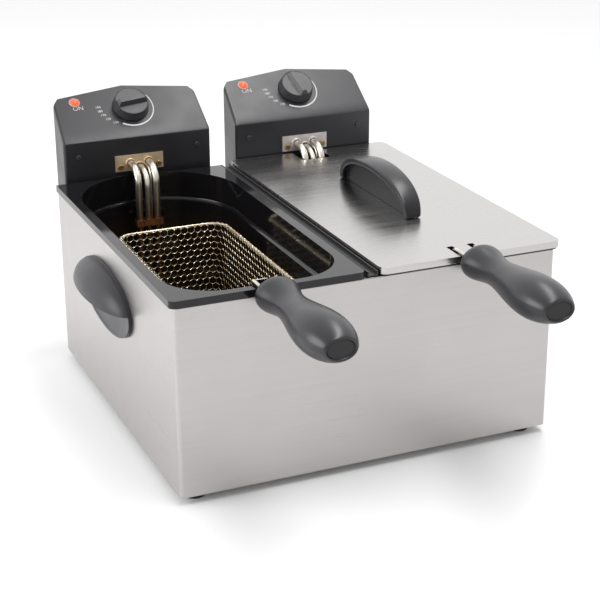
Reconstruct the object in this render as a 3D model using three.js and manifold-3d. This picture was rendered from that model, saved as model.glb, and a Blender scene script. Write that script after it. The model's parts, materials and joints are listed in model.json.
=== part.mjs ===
// Double deep fryer: one steel housing with two lift-out oil pots, each with its own
// wire basket and its own control head. Millimetres, +Z up, the front faces -Y.
// While it is built, x = 0 and y = 0 are the housing's middle and z = 0 is the worktop;
// the finished group is shifted so that the middle of its underside is the origin.

import * as THREE from 'three';
import { mergeVertices } from 'three/addons/utils/BufferGeometryUtils.js';
import Module from 'manifold-3d';

const wasm = await Module();
wasm.setup();

// ---------------------------------------------------------------- driving dimensions

const GAP = 0.3;                 // clearance between pieces that touch
const SLIDE_GAP = 1.2;           // clearance round a piece that lifts out

// housing
const HOUSING_WIDTH = 380;
const HOUSING_DEPTH = 380;
const HOUSING_HEIGHT = 183.5;
const HOUSING_CORNER = 4;        // outer bend radius
const SHEET = 1.2;               // casing sheet
const FOOT_HEIGHT = 8;
const FOOT_RADIUS = 11;
const FOOT_INSET = 20;
const BASE_VENT_LENGTH = 90;
const BASE_VENT_WIDTH = 6;

// oil pots
const POT_CENTRE = 100.75;       // each unit's middle, from the housing's middle
const POT_HALF_OPENING = 83;
const POT_FRONT_CORNER = 50;
const POT_FRONT_LIP = 9;         // flange in front of the opening
const POT_WALL = 1.4;
const POT_UNDER_BASKET = 18.3;   // the pot's floor, below the basket's
const POT_LEDGE_DROP = 31;       // the stepped ledge, below the rim
const POT_LEDGE_STEP = 4;
const POT_TAPER = 3;
const POT_FLOOR_ROUND = 9;
const RIM_HEIGHT = 7.2;          // the rolled rim, above the deck
const RIM_OVERHANG = 3.5;        // past the casing's side
const RIM_FRONT_OVERHANG = 1.4;
const RIM_BACK_INSET = 10.5;     // the straight back edge, inside the casing's back
const RIM_BULGE = 3.2;           // flange left round the opening's round back
const RIM_CORNER = 6;
const DIVIDER_HALF = 8;          // half the space between the two flanges

// baskets
const BASKET_HALF_WIDTH = 56;
const BASKET_FRONT_INSET = 29;   // from the casing's front
const BASKET_BACK_INSET = 106;   // from the casing's back
const BASKET_DEPTH = 88;
const BASKET_RIM_DROP = 31;      // the basket's rim, below the pot's
const BASKET_CORNER = 16;
const BASKET_TAPER = 5;
const BASKET_SHEET = 1.6;        // stands for the mesh
const RIM_WIRE = 3.4;
const BRACKET_HALF = 21;
const BRACKET_THICKNESS = 1.5;
const BRACKET_FOOT = 34;         // how far it reaches down the basket's front
const BRACKET_SHOULDER = 3;      // its wide part, above the basket's rim
const TONGUE_HALF = 7.5;         // its narrow middle, between the wires
const TONGUE_DROP = 1.6;         // the tongue's top, below the pot's rim
const EAR_DEPTH = 11;
const EAR_RISE = 16;             // the ears that hold the handle's pins, above the rim

// basket handle
const FORK_PITCH = 21.4;         // between the two wires of the handle
const FORK_WIRE = 1.9;           // wire radius
const FORK_BEND = 8;
const FORK_OVER_RIM = 2.6;       // the wire's middle, above the pot's rim
const FORK_PIN_DROP = 21;        // the fork's pins, below the pot's rim
const FORK_PIN_LENGTH = 7;
const FORK_CLEARANCE = 0.6;
const GRIP_START = 10;           // the grip's base, in front of the casing
const GRIP_AXIS_DROP = 1.8;      // the grip's middle, below the pot's rim
const GRIP_SOCKET = 30;          // how far the wire runs into the grip

// control heads
const HEAD_CENTRE = 97.5;
const HEAD_HALF = 82.5;
const HEAD_TAPER = 2;
const HEAD_CHAMFER = 6.5;        // the back's upright corners
const HEAD_WALL = 2.5;
const HEAD_STANDOFF = 1.6;       // the head's front face, behind the casing's back
const HEAD_EDGE_RISE = 40.3;     // where the front face meets the sloping panel, above the rim
const PANEL_SLOPE = THREE.MathUtils.degToRad(38);
const PANEL_SIDE_LENGTH = 60;    // along the slope at the back corners
const PANEL_MID_LENGTH = 70;     // along the slope at the back's low point
const HEAD_STEP_RISE = 34.3;     // where the back steps in to the tail, above the rim
const HEAD_STEP = 14;
const TAIL_DEPTH = 45;
const TAIL_DROP = 117.7;         // the tail's bottom, below the rim
const TAIL_CHAMFER = 10;

// heating element and sensor
const TUBE_RADIUS = 3.7;
const SENSOR_RADIUS = 3.3;
const TUBE_OFFSET = 10;          // each leg, from the head's middle
const LEG_FORWARD = 27;          // the upright legs, in front of the head's face
const TUBE_EXIT_RISE = 11.3;     // above the rim
const SENSOR_EXIT_RISE = 6.8;
const SENSOR_END_HEIGHT = 23.6;  // the sensor's tip, above the loop
const TUBE_BEND = 20;
const LOOP_BEND = 14;
const ELEMENT_HEIGHT = 7;        // the loop's middle, above the pot's floor
const LOOP_OUTER = 52;           // the loop's outer runs, from the pot's middle
const LOOP_INNER = 20;
const LOOP_FRONT_INSET = 72;     // from the casing's front
const LOOP_BACK_INSET = 118;
const CLAMP_HEIGHT = 7;
const CLAMP_DROP = 48.7;         // the clamp's middle, below the rim
const CLAMP_WALL = 1.2;
const PLATE_HALF = 27;
const PLATE_LOW_RISE = 2.8;      // the plate's edges, above the rim
const PLATE_HIGH_RISE = 20.3;
const PLATE_THICKNESS = 1.5;
const SCREW_RISE = 7.8;
const SCREW_OFFSET = 21.5;
const SCREW_HEAD = 3.2;
const FACE_SCREW_RISE = 23.8;
const FACE_SCREW_OFFSET = 66.7;
const FACE_SCREW_HEAD = 2.6;

// controls, placed along the sloping panel
const KNOB_ALONG = 39.5;
const KNOB_OFFSET = 2.5;         // to the right of the head's middle
const KNOB_RADIUS = 20;
const KNOB_BASE = 10;
const KNOB_RIDGE_HEIGHT = 17;
const KNOB_RIDGE_HALF = 4.2;
const KNOB_LIFT = 0.8;
const SHAFT_RADIUS = 3;
const THERMOSTAT_HALF = 11;
const THERMOSTAT_HEIGHT = 10;
const THERMOSTAT_DEPTH = 8;      // under the panel's outer face
const LENS_ALONG = 52.5;
const LENS_OFFSET = 57;
const LENS_RADIUS = 4.8;
const CUTOUT_RISE = 46.3;
const CUTOUT_OFFSET = 34;
const CUTOUT_HALF = 11;
const CUTOUT_HEIGHT = 14;
const CUTOUT_THICKNESS = 12;
const BUTTON_RADIUS = 4;
const BUTTON_PROUD = 4;
const BUTTON_TRAVEL = 2;
const GLAND_DROP = 86.7;
const GLAND_RADIUS = 8;
const GLAND_LENGTH = 14;
const GLAND_BORE = 3.6;

// lid of the right unit
const LID_SHEET = 1;
const LID_SKIRT = 6.5;
const LID_CLEARANCE = 0.6;       // between the skirt and the rim
const LID_SLOT_WIDTH = 6.6;
const LID_SLOT_LENGTH = 28;
const LID_NOTCH_HALF = 17;
const LID_BACK_GAP = 2.6;        // behind it, to the head's face and its screws
const LID_RELIEF = 1.8;          // more room at the back for the plate's screws
const LID_HANDLE_LENGTH = 158;
const LID_HANDLE_HEIGHT = 37;
const LID_HANDLE_HALF = 14;
const LID_HANDLE_THICKNESS = 7;
const LID_WEB_HALF = 3;           // the wall under the handle's arch

// side handles
const CUP_LENGTH = 80;           // half its length
const CUP_HEIGHT = 33;           // half its height
const CUP_PROUD = 27;
const CUP_WALL = 3.4;
const CUP_DROP = 60;             // its middle, below the deck
const CUP_Y = 15;
const CUP_LIP_RISE = 5.5;        // the hood's lower edge, above its middle
const CUP_BASE = 3;              // the oval base, under and below the hood
const CUP_DISH = 2.2;            // the hollow in the base

// ---------------------------------------------------------------- derived places

const DECK_Z = FOOT_HEIGHT + HOUSING_HEIGHT;
const RIM_Z = DECK_Z + RIM_HEIGHT;
const FRONT_Y = -HOUSING_DEPTH / 2;
const BACK_Y = HOUSING_DEPTH / 2;
const BASKET_FRONT_Y = FRONT_Y + BASKET_FRONT_INSET;
const BASKET_BACK_Y = BACK_Y - BASKET_BACK_INSET;
const LOOP_FRONT_Y = FRONT_Y + LOOP_FRONT_INSET;
const LOOP_BACK_Y = BACK_Y - LOOP_BACK_INSET;
const POT_OUTER = POT_HALF_OPENING + POT_WALL;
const RIM_FRONT_Y = FRONT_Y - RIM_FRONT_OVERHANG;
const OPENING_FRONT_Y = RIM_FRONT_Y + POT_FRONT_LIP;
const OPENING_BACK_Y = BACK_Y - 4.4;
const OPENING_ARC_Y = OPENING_BACK_Y - POT_HALF_OPENING;
const RIM_HALF = (HOUSING_WIDTH / 2 + RIM_OVERHANG - DIVIDER_HALF) / 2;
const RIM_CENTRE = (HOUSING_WIDTH / 2 + RIM_OVERHANG + DIVIDER_HALF) / 2;
const BASKET_RIM_Z = RIM_Z - BASKET_RIM_DROP;
const POT_FLOOR_Z = BASKET_RIM_Z - BASKET_DEPTH - POT_UNDER_BASKET - POT_WALL;
const HEAD_EDGE_Z = RIM_Z + HEAD_EDGE_RISE;
const HEAD_STEP_Z = RIM_Z + HEAD_STEP_RISE;
const TAIL_BOTTOM_Z = RIM_Z - TAIL_DROP;
const TUBE_EXIT_Z = RIM_Z + TUBE_EXIT_RISE;
const SENSOR_EXIT_Z = RIM_Z + SENSOR_EXIT_RISE;
const CLAMP_Z = RIM_Z - CLAMP_DROP;
const PLATE_LOW_Z = RIM_Z + PLATE_LOW_RISE;
const PLATE_HIGH_Z = RIM_Z + PLATE_HIGH_RISE;
const SCREW_Z = RIM_Z + SCREW_RISE;
const FACE_SCREW_Z = RIM_Z + FACE_SCREW_RISE;
const CUTOUT_Z = RIM_Z + CUTOUT_RISE;
const GLAND_Z = RIM_Z - GLAND_DROP;
const CUP_Z = DECK_Z - CUP_DROP;
const CUP_LIP_Z = CUP_Z + CUP_LIP_RISE;
const HEAD_Y = BACK_Y + HEAD_STANDOFF;
const LEG_Y = HEAD_Y - LEG_FORWARD;
const LOOP_Z = POT_FLOOR_Z + POT_WALL + ELEMENT_HEIGHT;
const SENSOR_END_Z = LOOP_Z + SENSOR_END_HEIGHT;
const GRIP_Y = FRONT_Y - GRIP_START;
const GRIP_Z = RIM_Z - GRIP_AXIS_DROP;
const FORK_Z = RIM_Z + FORK_OVER_RIM;
const BRACKET_BACK_Y = BASKET_FRONT_Y - RIM_WIRE - 2 * GAP;
const PIN_Y = BRACKET_BACK_Y - EAR_DEPTH + FORK_WIRE + 2.2;
const PIN_Z = RIM_Z - FORK_PIN_DROP;
const LID_TOP_Z = RIM_Z + GAP + LID_SHEET;
const PANEL_NORMAL = new THREE.Vector3(0, -Math.sin(PANEL_SLOPE), Math.cos(PANEL_SLOPE));

// ---------------------------------------------------------------- finishes

const finish = (color, roughness, metalness) =>
  new THREE.MeshStandardMaterial({ color, roughness, metalness });

const FINISH = {
  steel: finish(0xb9b7b4, 0.38, 1),
  enamel: finish(0x141315, 0.15, 0.1),
  headPlastic: finish(0x3a3a40, 0.5, 0),
  gripPlastic: finish(0x4a4a50, 0.42, 0),
  knobPlastic: finish(0x1d1d20, 0.4, 0),
  rubber: finish(0x1b1b1c, 0.8, 0),
  basketWire: finish(0xb08a4a, 0.35, 1),
  brightWire: finish(0xc9c4ba, 0.25, 1),
  elementTube: finish(0xa89a84, 0.3, 1),
  copper: finish(0xa8693f, 0.4, 1),
  zincPlate: finish(0xa98d63, 0.4, 1),
  lens: finish(0xd8391c, 0.2, 0),
  brass: finish(0xb5a05c, 0.35, 1),
  darkPlastic: finish(0x2a2a2c, 0.6, 0),
};

// ---------------------------------------------------------------- solid tools

const fryer = new THREE.Group();

function toSolid(geometry) {
  const bare = geometry.clone();
  bare.deleteAttribute('normal');
  bare.deleteAttribute('uv');
  const merged = mergeVertices(bare, 1e-3);
  return new wasm.Manifold(new wasm.Mesh({
    numProp: 3,
    vertProperties: new Float32Array(merged.attributes.position.array),
    triVerts: new Uint32Array(merged.index.array),
  }));
}

function toGeometry(solid) {
  const mesh = solid.getMesh();
  const geometry = new THREE.BufferGeometry();
  geometry.setAttribute('position', new THREE.BufferAttribute(mesh.vertProperties, 3));
  geometry.setIndex(new THREE.BufferAttribute(mesh.triVerts, 1));
  const loose = geometry.toNonIndexed();
  loose.computeVertexNormals();
  return loose;
}

function add(name, shape, material) {
  const geometry = shape.isBufferGeometry ? shape : toGeometry(shape);
  const mesh = new THREE.Mesh(geometry, material);
  mesh.name = name;
  fryer.add(mesh);
}

// A box from its lowest to its highest corner.
function box(low, high) {
  const size = high.map((value, axis) => value - low[axis]);
  const geometry = new THREE.BoxGeometry(...size);
  geometry.translate(...low.map((value, axis) => value + size[axis] / 2));
  return toSolid(geometry);
}

// A flat outline, given as [x, y] points, stood up between two heights.
function prism(outline, low, high) {
  const shape = new THREE.Shape(outline.map(([x, y]) => new THREE.Vector2(x, y)));
  const geometry = new THREE.ExtrudeGeometry(shape, { depth: high - low, bevelEnabled: false });
  geometry.translate(0, 0, low);
  return toSolid(geometry);
}

// A side outline, given as [y, z] points, run across from one x to another.
function sideways(outline, low, high) {
  const shape = new THREE.Shape(outline.map(([y, z]) => new THREE.Vector2(y, z)));
  const geometry = new THREE.ExtrudeGeometry(shape, { depth: high - low, bevelEnabled: false });
  const turn = new THREE.Matrix4().set(
    0, 0, 1, low,
    1, 0, 0, 0,
    0, 1, 0, 0,
    0, 0, 0, 1,
  );
  return toSolid(geometry.applyMatrix4(turn));
}

// A round bar from a point, along a direction.
function bar(from, along, length, radius, sides = 16, endRadius = radius) {
  const geometry = new THREE.CylinderGeometry(endRadius, radius, length, sides);
  geometry.translate(0, length / 2, 0);
  const turn = new THREE.Quaternion().setFromUnitVectors(new THREE.Vector3(0, 1, 0), along);
  geometry.applyQuaternion(turn);
  geometry.translate(from.x, from.y, from.z);
  return toSolid(geometry);
}

const point = (x, y, z) => new THREE.Vector3(x, y, z);
const UP = point(0, 0, 1);
const FORWARD = point(0, -1, 0);
const BACKWARD = point(0, 1, 0);

// An arc's points, from one angle to another, in degrees.
function arc(x, y, radius, from, to, steps) {
  return Array.from({ length: steps + 1 }, (_, step) => {
    const angle = THREE.MathUtils.degToRad(from + ((to - from) * step) / steps);
    return [x + radius * Math.cos(angle), y + radius * Math.sin(angle)];
  });
}

function roundedRectangle(left, right, front, back, radius, steps = 3) {
  return [
    ...arc(left + radius, front + radius, radius, 180, 270, steps),
    ...arc(right - radius, front + radius, radius, 270, 360, steps),
    ...arc(right - radius, back - radius, radius, 0, 90, steps),
    ...arc(left + radius, back - radius, radius, 90, 180, steps),
  ];
}

// A closed skin through rings that all have the same number of points.
function loft(rings) {
  const count = rings[0].length;
  const positions = rings.flat().flatMap((p) => [p.x, p.y, p.z]);
  const index = [];
  for (let ring = 0; ring + 1 < rings.length; ring += 1) {
    for (let i = 0; i < count; i += 1) {
      const a = ring * count + i;
      const b = ring * count + ((i + 1) % count);
      index.push(a, b, b + count, a, b + count, a + count);
    }
  }
  const capped = (ring, flip) => {
    const centre = positions.length / 3;
    const middle = rings[ring].reduce((sum, p) => sum.add(p), point(0, 0, 0)).divideScalar(count);
    positions.push(middle.x, middle.y, middle.z);
    for (let i = 0; i < count; i += 1) {
      const a = ring * count + i;
      const b = ring * count + ((i + 1) % count);
      index.push(...(flip ? [centre, b, a] : [centre, a, b]));
    }
  };
  capped(0, true);
  capped(rings.length - 1, false);
  const geometry = new THREE.BufferGeometry();
  geometry.setAttribute('position', new THREE.Float32BufferAttribute(positions, 3));
  geometry.setIndex(index);
  return geometry;
}

const level = (outline, z) => outline.map(([x, y]) => point(x, y, z));

// A bent rod's line: it has a point wherever the rod turns, so a straight run costs one step.
class BentLine extends THREE.Curve {
  constructor(nodes) {
    super();
    this.nodes = nodes;
  }

  nodeAt(share) {
    return Math.round(share * (this.nodes.length - 1));
  }

  getPoint(share, target = new THREE.Vector3()) {
    return target.copy(this.nodes[this.nodeAt(share)]);
  }

  getPointAt(share, target) {
    return this.getPoint(share, target);
  }

  getTangent(share, target = new THREE.Vector3()) {
    const node = this.nodeAt(share);
    const before = this.nodes[Math.max(node - 1, 0)];
    const here = this.nodes[node];
    const after = this.nodes[Math.min(node + 1, this.nodes.length - 1)];
    const arriving = here.clone().sub(before).normalize();
    const leaving = after.clone().sub(here).normalize();
    return target.copy(arriving.add(leaving).normalize());
  }

  getTangentAt(share, target) {
    return this.getTangent(share, target);
  }
}

// Rounds every inner corner of a line of points.
function bend(corners, radius, steps = 4) {
  const nodes = [corners[0]];
  for (let i = 1; i + 1 < corners.length; i += 1) {
    const back = corners[i - 1].clone().sub(corners[i]);
    const on = corners[i + 1].clone().sub(corners[i]);
    const half = back.angleTo(on) / 2;
    const reach = Math.min(radius / Math.tan(half), back.length() / 2, on.length() / 2);
    const size = reach * Math.tan(half);
    const start = corners[i].clone().addScaledVector(back.normalize(), reach);
    const toCentre = back.clone().add(on.clone().normalize()).normalize();
    const centre = corners[i].clone().addScaledVector(toCentre, size / Math.sin(half));
    const turn = Math.PI - 2 * half;
    const axis = back.clone().cross(on).normalize();
    for (let step = 0; step <= steps; step += 1) {
      const arm = start.clone().sub(centre).applyAxisAngle(axis, (-turn * step) / steps);
      nodes.push(centre.clone().add(arm));
    }
  }
  nodes.push(corners.at(-1));
  return nodes;
}

function rod(nodes, radius, sides = 8) {
  const section = new THREE.Shape(
    arc(0, 0, radius, 0, 360 - 360 / sides, sides - 1).map(([x, y]) => new THREE.Vector2(x, y)),
  );
  return toSolid(new THREE.ExtrudeGeometry(section, {
    steps: nodes.length - 1,
    extrudePath: new BentLine(nodes),
    bevelEnabled: false,
  }));
}

// ---------------------------------------------------------------- housing

function casing() {
  const halfWidth = HOUSING_WIDTH / 2;
  const outer = prism(
    roundedRectangle(-halfWidth, halfWidth, FRONT_Y, BACK_Y, HOUSING_CORNER),
    FOOT_HEIGHT, DECK_Z,
  );
  const room = prism(
    roundedRectangle(
      -halfWidth + SHEET, halfWidth - SHEET, FRONT_Y + SHEET, BACK_Y - SHEET,
      HOUSING_CORNER - SHEET,
    ),
    FOOT_HEIGHT - 1, DECK_Z - SHEET,
  );
  let shell = outer.subtract(room);
  for (const side of [-1, 1]) {
    const middle = side * POT_CENTRE;
    shell = shell.subtract(box(
      [middle - POT_OUTER - 2 * GAP, OPENING_FRONT_Y - POT_WALL - 2 * GAP, DECK_Z - 2 * SHEET],
      [middle + POT_OUTER + 2 * GAP, BACK_Y - SHEET - GAP, DECK_Z + SHEET],
    ));
  }
  return shell;
}

function basePlate() {
  const edge = SHEET + GAP;
  const halfWidth = HOUSING_WIDTH / 2;
  let plate = prism(
    roundedRectangle(
      -halfWidth + edge, halfWidth - edge, FRONT_Y + edge, BACK_Y - edge, HOUSING_CORNER - edge,
    ),
    FOOT_HEIGHT, FOOT_HEIGHT + 2 * SHEET,
  );
  for (const side of [-1, 1]) {
    for (const row of [-1.5, -0.5, 0.5, 1.5]) {
      const x = side * POT_CENTRE;
      const y = row * BASE_VENT_LENGTH / 3;
      plate = plate.subtract(box(
        [x - BASE_VENT_LENGTH / 2, y - BASE_VENT_WIDTH / 2, FOOT_HEIGHT - 1],
        [x + BASE_VENT_LENGTH / 2, y + BASE_VENT_WIDTH / 2, FOOT_HEIGHT + 4 * SHEET],
      ));
    }
  }
  return plate;
}

function foot(side, end) {
  const x = side * (HOUSING_WIDTH / 2 - FOOT_INSET);
  const y = end * (HOUSING_DEPTH / 2 - FOOT_INSET);
  return bar(point(x, y, 0), UP, FOOT_HEIGHT - GAP, FOOT_RADIUS * 0.9, 20, FOOT_RADIUS);
}

function divider() {
  const half = DIVIDER_HALF - LID_CLEARANCE - LID_SHEET - SLIDE_GAP;
  const wall = 1.5;
  const height = RIM_HEIGHT - 2.2;
  const outer = box(
    [-half, RIM_FRONT_Y + 3, DECK_Z + GAP],
    [half, BACK_Y - 3, DECK_Z + GAP + height],
  );
  return outer.subtract(box(
    [-half + wall, RIM_FRONT_Y - 1, DECK_Z + GAP + wall],
    [half - wall, BACK_Y + 1, DECK_Z + RIM_HEIGHT],
  ));
}

function guideRail() {
  const length = HEAD_CENTRE + HEAD_HALF - HEAD_WALL - 6;
  const low = DECK_Z - 60;
  return box([-length, BACK_Y + GAP, low], [length, BACK_Y + GAP + 1, low + 8]);
}

// The cup handle: a hollow half dome, open underneath, with an arched mouth.
function cupHandle(side) {
  const dome = (shrink) => {
    const ball = new THREE.SphereGeometry(1, 20, 14);
    ball.scale(CUP_PROUD - shrink, CUP_LENGTH - shrink, CUP_HEIGHT - shrink);
    ball.translate(0, CUP_Y, CUP_Z);
    return toSolid(ball);
  };
  const oval = prism(
    arc(0, 0, 1, 0, 348.75, 31).map(([u, v]) => [u * CUP_LENGTH, v * CUP_HEIGHT]),
    -CUP_BASE, 0,
  );
  const stand = new THREE.Matrix4().set(
    0, 0, 1, 0,
    1, 0, 0, CUP_Y,
    0, 1, 0, CUP_Z,
    0, 0, 0, 1,
  );
  const hollow = new THREE.SphereGeometry(1, 32, 16);
  hollow.scale(CUP_DISH, CUP_LENGTH - CUP_WALL, CUP_HEIGHT - CUP_WALL);
  hollow.translate(-CUP_BASE, CUP_Y, CUP_Z);
  const far = CUP_LENGTH + 5;
  let hood = dome(0).subtract(dome(CUP_WALL));
  hood = hood.subtract(box([-far, CUP_Y - far, 0], [far, CUP_Y + far, CUP_LIP_Z]));
  hood = hood.subtract(box([0, CUP_Y - far, 0], [far, CUP_Y + far, CUP_Z + far]));
  const handle = hood.add(oval.transform(stand.elements).subtract(toSolid(hollow)));
  const place = new THREE.Matrix4().makeTranslation(side * (HOUSING_WIDTH / 2 + GAP), 0, 0);
  place.multiply(new THREE.Matrix4().makeRotationZ(side < 0 ? 0 : Math.PI));
  place.multiply(new THREE.Matrix4().makeTranslation(0, side < 0 ? 0 : -2 * CUP_Y, 0));
  return handle.transform(place.elements);
}

function makeHousing() {
  add('housing_shell', casing(), FINISH.steel);
  add('base_plate', basePlate(), FINISH.steel);
  for (const [side, sideName] of [[-1, 'left'], [1, 'right']]) {
    add(`foot_front_${sideName}`, foot(side, -1), FINISH.rubber);
    add(`foot_rear_${sideName}`, foot(side, 1), FINISH.rubber);
    add(`side_handle_${sideName}`, cupHandle(side), FINISH.headPlastic);
  }
  add('divider_channel', divider(), FINISH.enamel);
  add('guide_rail', guideRail(), FINISH.steel);
}

// ---------------------------------------------------------------- oil pot

// The pot's plan: straight sides, round front corners and a half-round back.
function potPlan(middle, inset) {
  const half = POT_HALF_OPENING - inset;
  const corner = POT_FRONT_CORNER - inset;
  const front = OPENING_FRONT_Y + inset;
  return [
    ...arc(middle - half + corner, front + corner, corner, 180, 270, 6),
    ...arc(middle + half - corner, front + corner, corner, 270, 360, 6),
    ...arc(middle, OPENING_ARC_Y, half, 0, 180, 18),
  ];
}

// The bowl's surface, moved outwards by a wall's thickness.
function bowl(middle, wall, top) {
  const ledge = RIM_Z - POT_LEDGE_DROP;
  const floor = POT_FLOOR_Z + POT_WALL - wall;
  const low = POT_LEDGE_STEP + POT_TAPER;
  const steps = [
    [low + POT_FLOOR_ROUND, floor],
    [low + POT_FLOOR_ROUND * 0.3, floor + POT_FLOOR_ROUND * 0.3],
    [low, floor + POT_FLOOR_ROUND],
    [POT_LEDGE_STEP, ledge - wall],
    [0, ledge - wall + 1],
    [0, top],
  ];
  return toSolid(loft(steps.map(([inset, z]) => level(potPlan(middle, inset - wall), z))));
}

function flangePlan(middle, centre) {
  const left = centre - RIM_HALF;
  const right = centre + RIM_HALF;
  const back = BACK_Y - RIM_BACK_INSET;
  const bulge = POT_HALF_OPENING + RIM_BULGE;
  const start = THREE.MathUtils.radToDeg(Math.asin((back - OPENING_ARC_Y) / bulge));
  return [
    ...arc(left + RIM_CORNER, RIM_FRONT_Y + RIM_CORNER, RIM_CORNER, 180, 270, 3),
    ...arc(right - RIM_CORNER, RIM_FRONT_Y + RIM_CORNER, RIM_CORNER, 270, 360, 3),
    [right, back],
    ...arc(middle, OPENING_ARC_Y, bulge, start, 180 - start, 8),
    [left, back],
  ];
}

function pot(side) {
  const middle = side * POT_CENTRE;
  const flange = prism(flangePlan(middle, side * RIM_CENTRE), DECK_Z + GAP, RIM_Z);
  return flange
    .add(bowl(middle, POT_WALL, RIM_Z - 1))
    .subtract(bowl(middle, 0, RIM_Z + 5));
}

// ---------------------------------------------------------------- basket and its handle

function basketPlan(middle, inset) {
  return roundedRectangle(
    middle - BASKET_HALF_WIDTH + inset, middle + BASKET_HALF_WIDTH - inset,
    BASKET_FRONT_Y + inset, BASKET_BACK_Y - inset, BASKET_CORNER - inset, 4,
  );
}

function basket(side) {
  const middle = side * POT_CENTRE;
  const body = (wall, top) => toSolid(loft([
    level(basketPlan(middle, BASKET_TAPER + wall), BASKET_RIM_Z - BASKET_DEPTH + wall),
    level(basketPlan(middle, wall), top),
  ]));
  return body(0, BASKET_RIM_Z).subtract(body(BASKET_SHEET, BASKET_RIM_Z + 1));
}

function basketRim(side) {
  const middle = side * POT_CENTRE;
  const low = BASKET_RIM_Z - RIM_WIRE;
  return prism(basketPlan(middle, -GAP - RIM_WIRE), low, BASKET_RIM_Z)
    .subtract(prism(basketPlan(middle, -GAP), low - 1, BASKET_RIM_Z + 1));
}

// A plate on the basket's front: a slotted tongue in the middle, and two ears that the
// handle's pins turn in.
function bracket(side) {
  const middle = side * POT_CENTRE;
  const front = BRACKET_BACK_Y - BRACKET_THICKNESS;
  const low = BASKET_RIM_Z - BRACKET_FOOT;
  const shoulder = BASKET_RIM_Z + BRACKET_SHOULDER;
  const top = RIM_Z - TONGUE_DROP;
  const earInside = FORK_PITCH / 2 + FORK_WIRE + FORK_CLEARANCE;
  let plate = box([middle - BRACKET_HALF, front, low], [middle + BRACKET_HALF, BRACKET_BACK_Y, shoulder])
    .add(box([middle - TONGUE_HALF, front, low], [middle + TONGUE_HALF, BRACKET_BACK_Y, top]))
    .subtract(box([middle - 2.5, front - 1, top - 12], [middle + 2.5, BRACKET_BACK_Y + 1, top - 3.5]));
  for (const hand of [-1, 1]) {
    const edges = [hand * earInside, hand * (earInside + BRACKET_THICKNESS)].sort((a, b) => a - b);
    const ear = box(
      [middle + edges[0], BRACKET_BACK_Y - EAR_DEPTH, shoulder - 6],
      [middle + edges[1], BRACKET_BACK_Y, BASKET_RIM_Z + EAR_RISE],
    );
    const eye = bar(
      point(middle + hand * (earInside - 2), PIN_Y, PIN_Z), point(hand, 0, 0),
      BRACKET_THICKNESS + 4, FORK_WIRE + FORK_CLEARANCE,
    );
    plate = plate.add(ear.subtract(eye));
  }
  return plate;
}

// A fork of wire: its two pins turn in the bracket's ears, and its legs climb over the
// rim and run into the grip.
function fork(side) {
  const middle = side * POT_CENTRE;
  const leg = (hand) => {
    const x = middle + (hand * FORK_PITCH) / 2;
    return [
      point(x + hand * FORK_PIN_LENGTH, PIN_Y, PIN_Z),
      point(x, PIN_Y, PIN_Z),
      point(x, PIN_Y, FORK_Z),
      point(x, GRIP_Y - GRIP_SOCKET, FORK_Z),
    ];
  };
  return rod(bend([...leg(-1), ...leg(1).reverse()], FORK_BEND, 4), FORK_WIRE, 8);
}

// The grip's half width and half height along its length.
const GRIP_SECTIONS = [
  [0, 16.5, 12.5], [2.5, 19.6, 15.6], [8, 20.6, 16.6], [18, 18.6, 15.2], [34, 15.2, 12.9],
  [50, 16, 13.3], [70, 19.8, 15.8], [90, 23.4, 18.4], [106, 24.3, 19], [120, 22.8, 17.6],
  [132, 19, 14.4], [138, 15.6, 11.4], [140, 13.6, 9.4],
];

function grip(side) {
  const middle = side * POT_CENTRE;
  const rings = GRIP_SECTIONS.map(([along, halfWidth, halfHeight]) =>
    arc(0, 0, 1, 0, 337.5, 15).map(([u, v]) =>
      point(middle + u * halfWidth, GRIP_Y - along, GRIP_Z + v * halfHeight)));
  const body = toSolid(loft(rings));
  const bore = FORK_WIRE + GAP;
  const channel = box(
    [middle - FORK_PITCH / 2 - bore, GRIP_Y - GRIP_SOCKET - bore, FORK_Z - bore],
    [middle + FORK_PITCH / 2 + bore, GRIP_Y + 5, FORK_Z + bore],
  );
  return body.subtract(channel);
}

// ---------------------------------------------------------------- control head

const panelZ = (y) => HEAD_EDGE_Z + (y - HEAD_Y) * Math.tan(PANEL_SLOPE);
const backAt = (along) => HEAD_Y + along * Math.cos(PANEL_SLOPE);
const SHOULDER_HALF = HEAD_HALF - HEAD_TAPER - HEAD_CHAMFER;

// The back's outer face at a distance from the head's middle: it is a shallow V.
function backFaceAt(x) {
  const middle = backAt(PANEL_MID_LENGTH);
  return middle + ((backAt(PANEL_SIDE_LENGTH) - middle) * Math.abs(x)) / SHOULDER_HALF;
}

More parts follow.
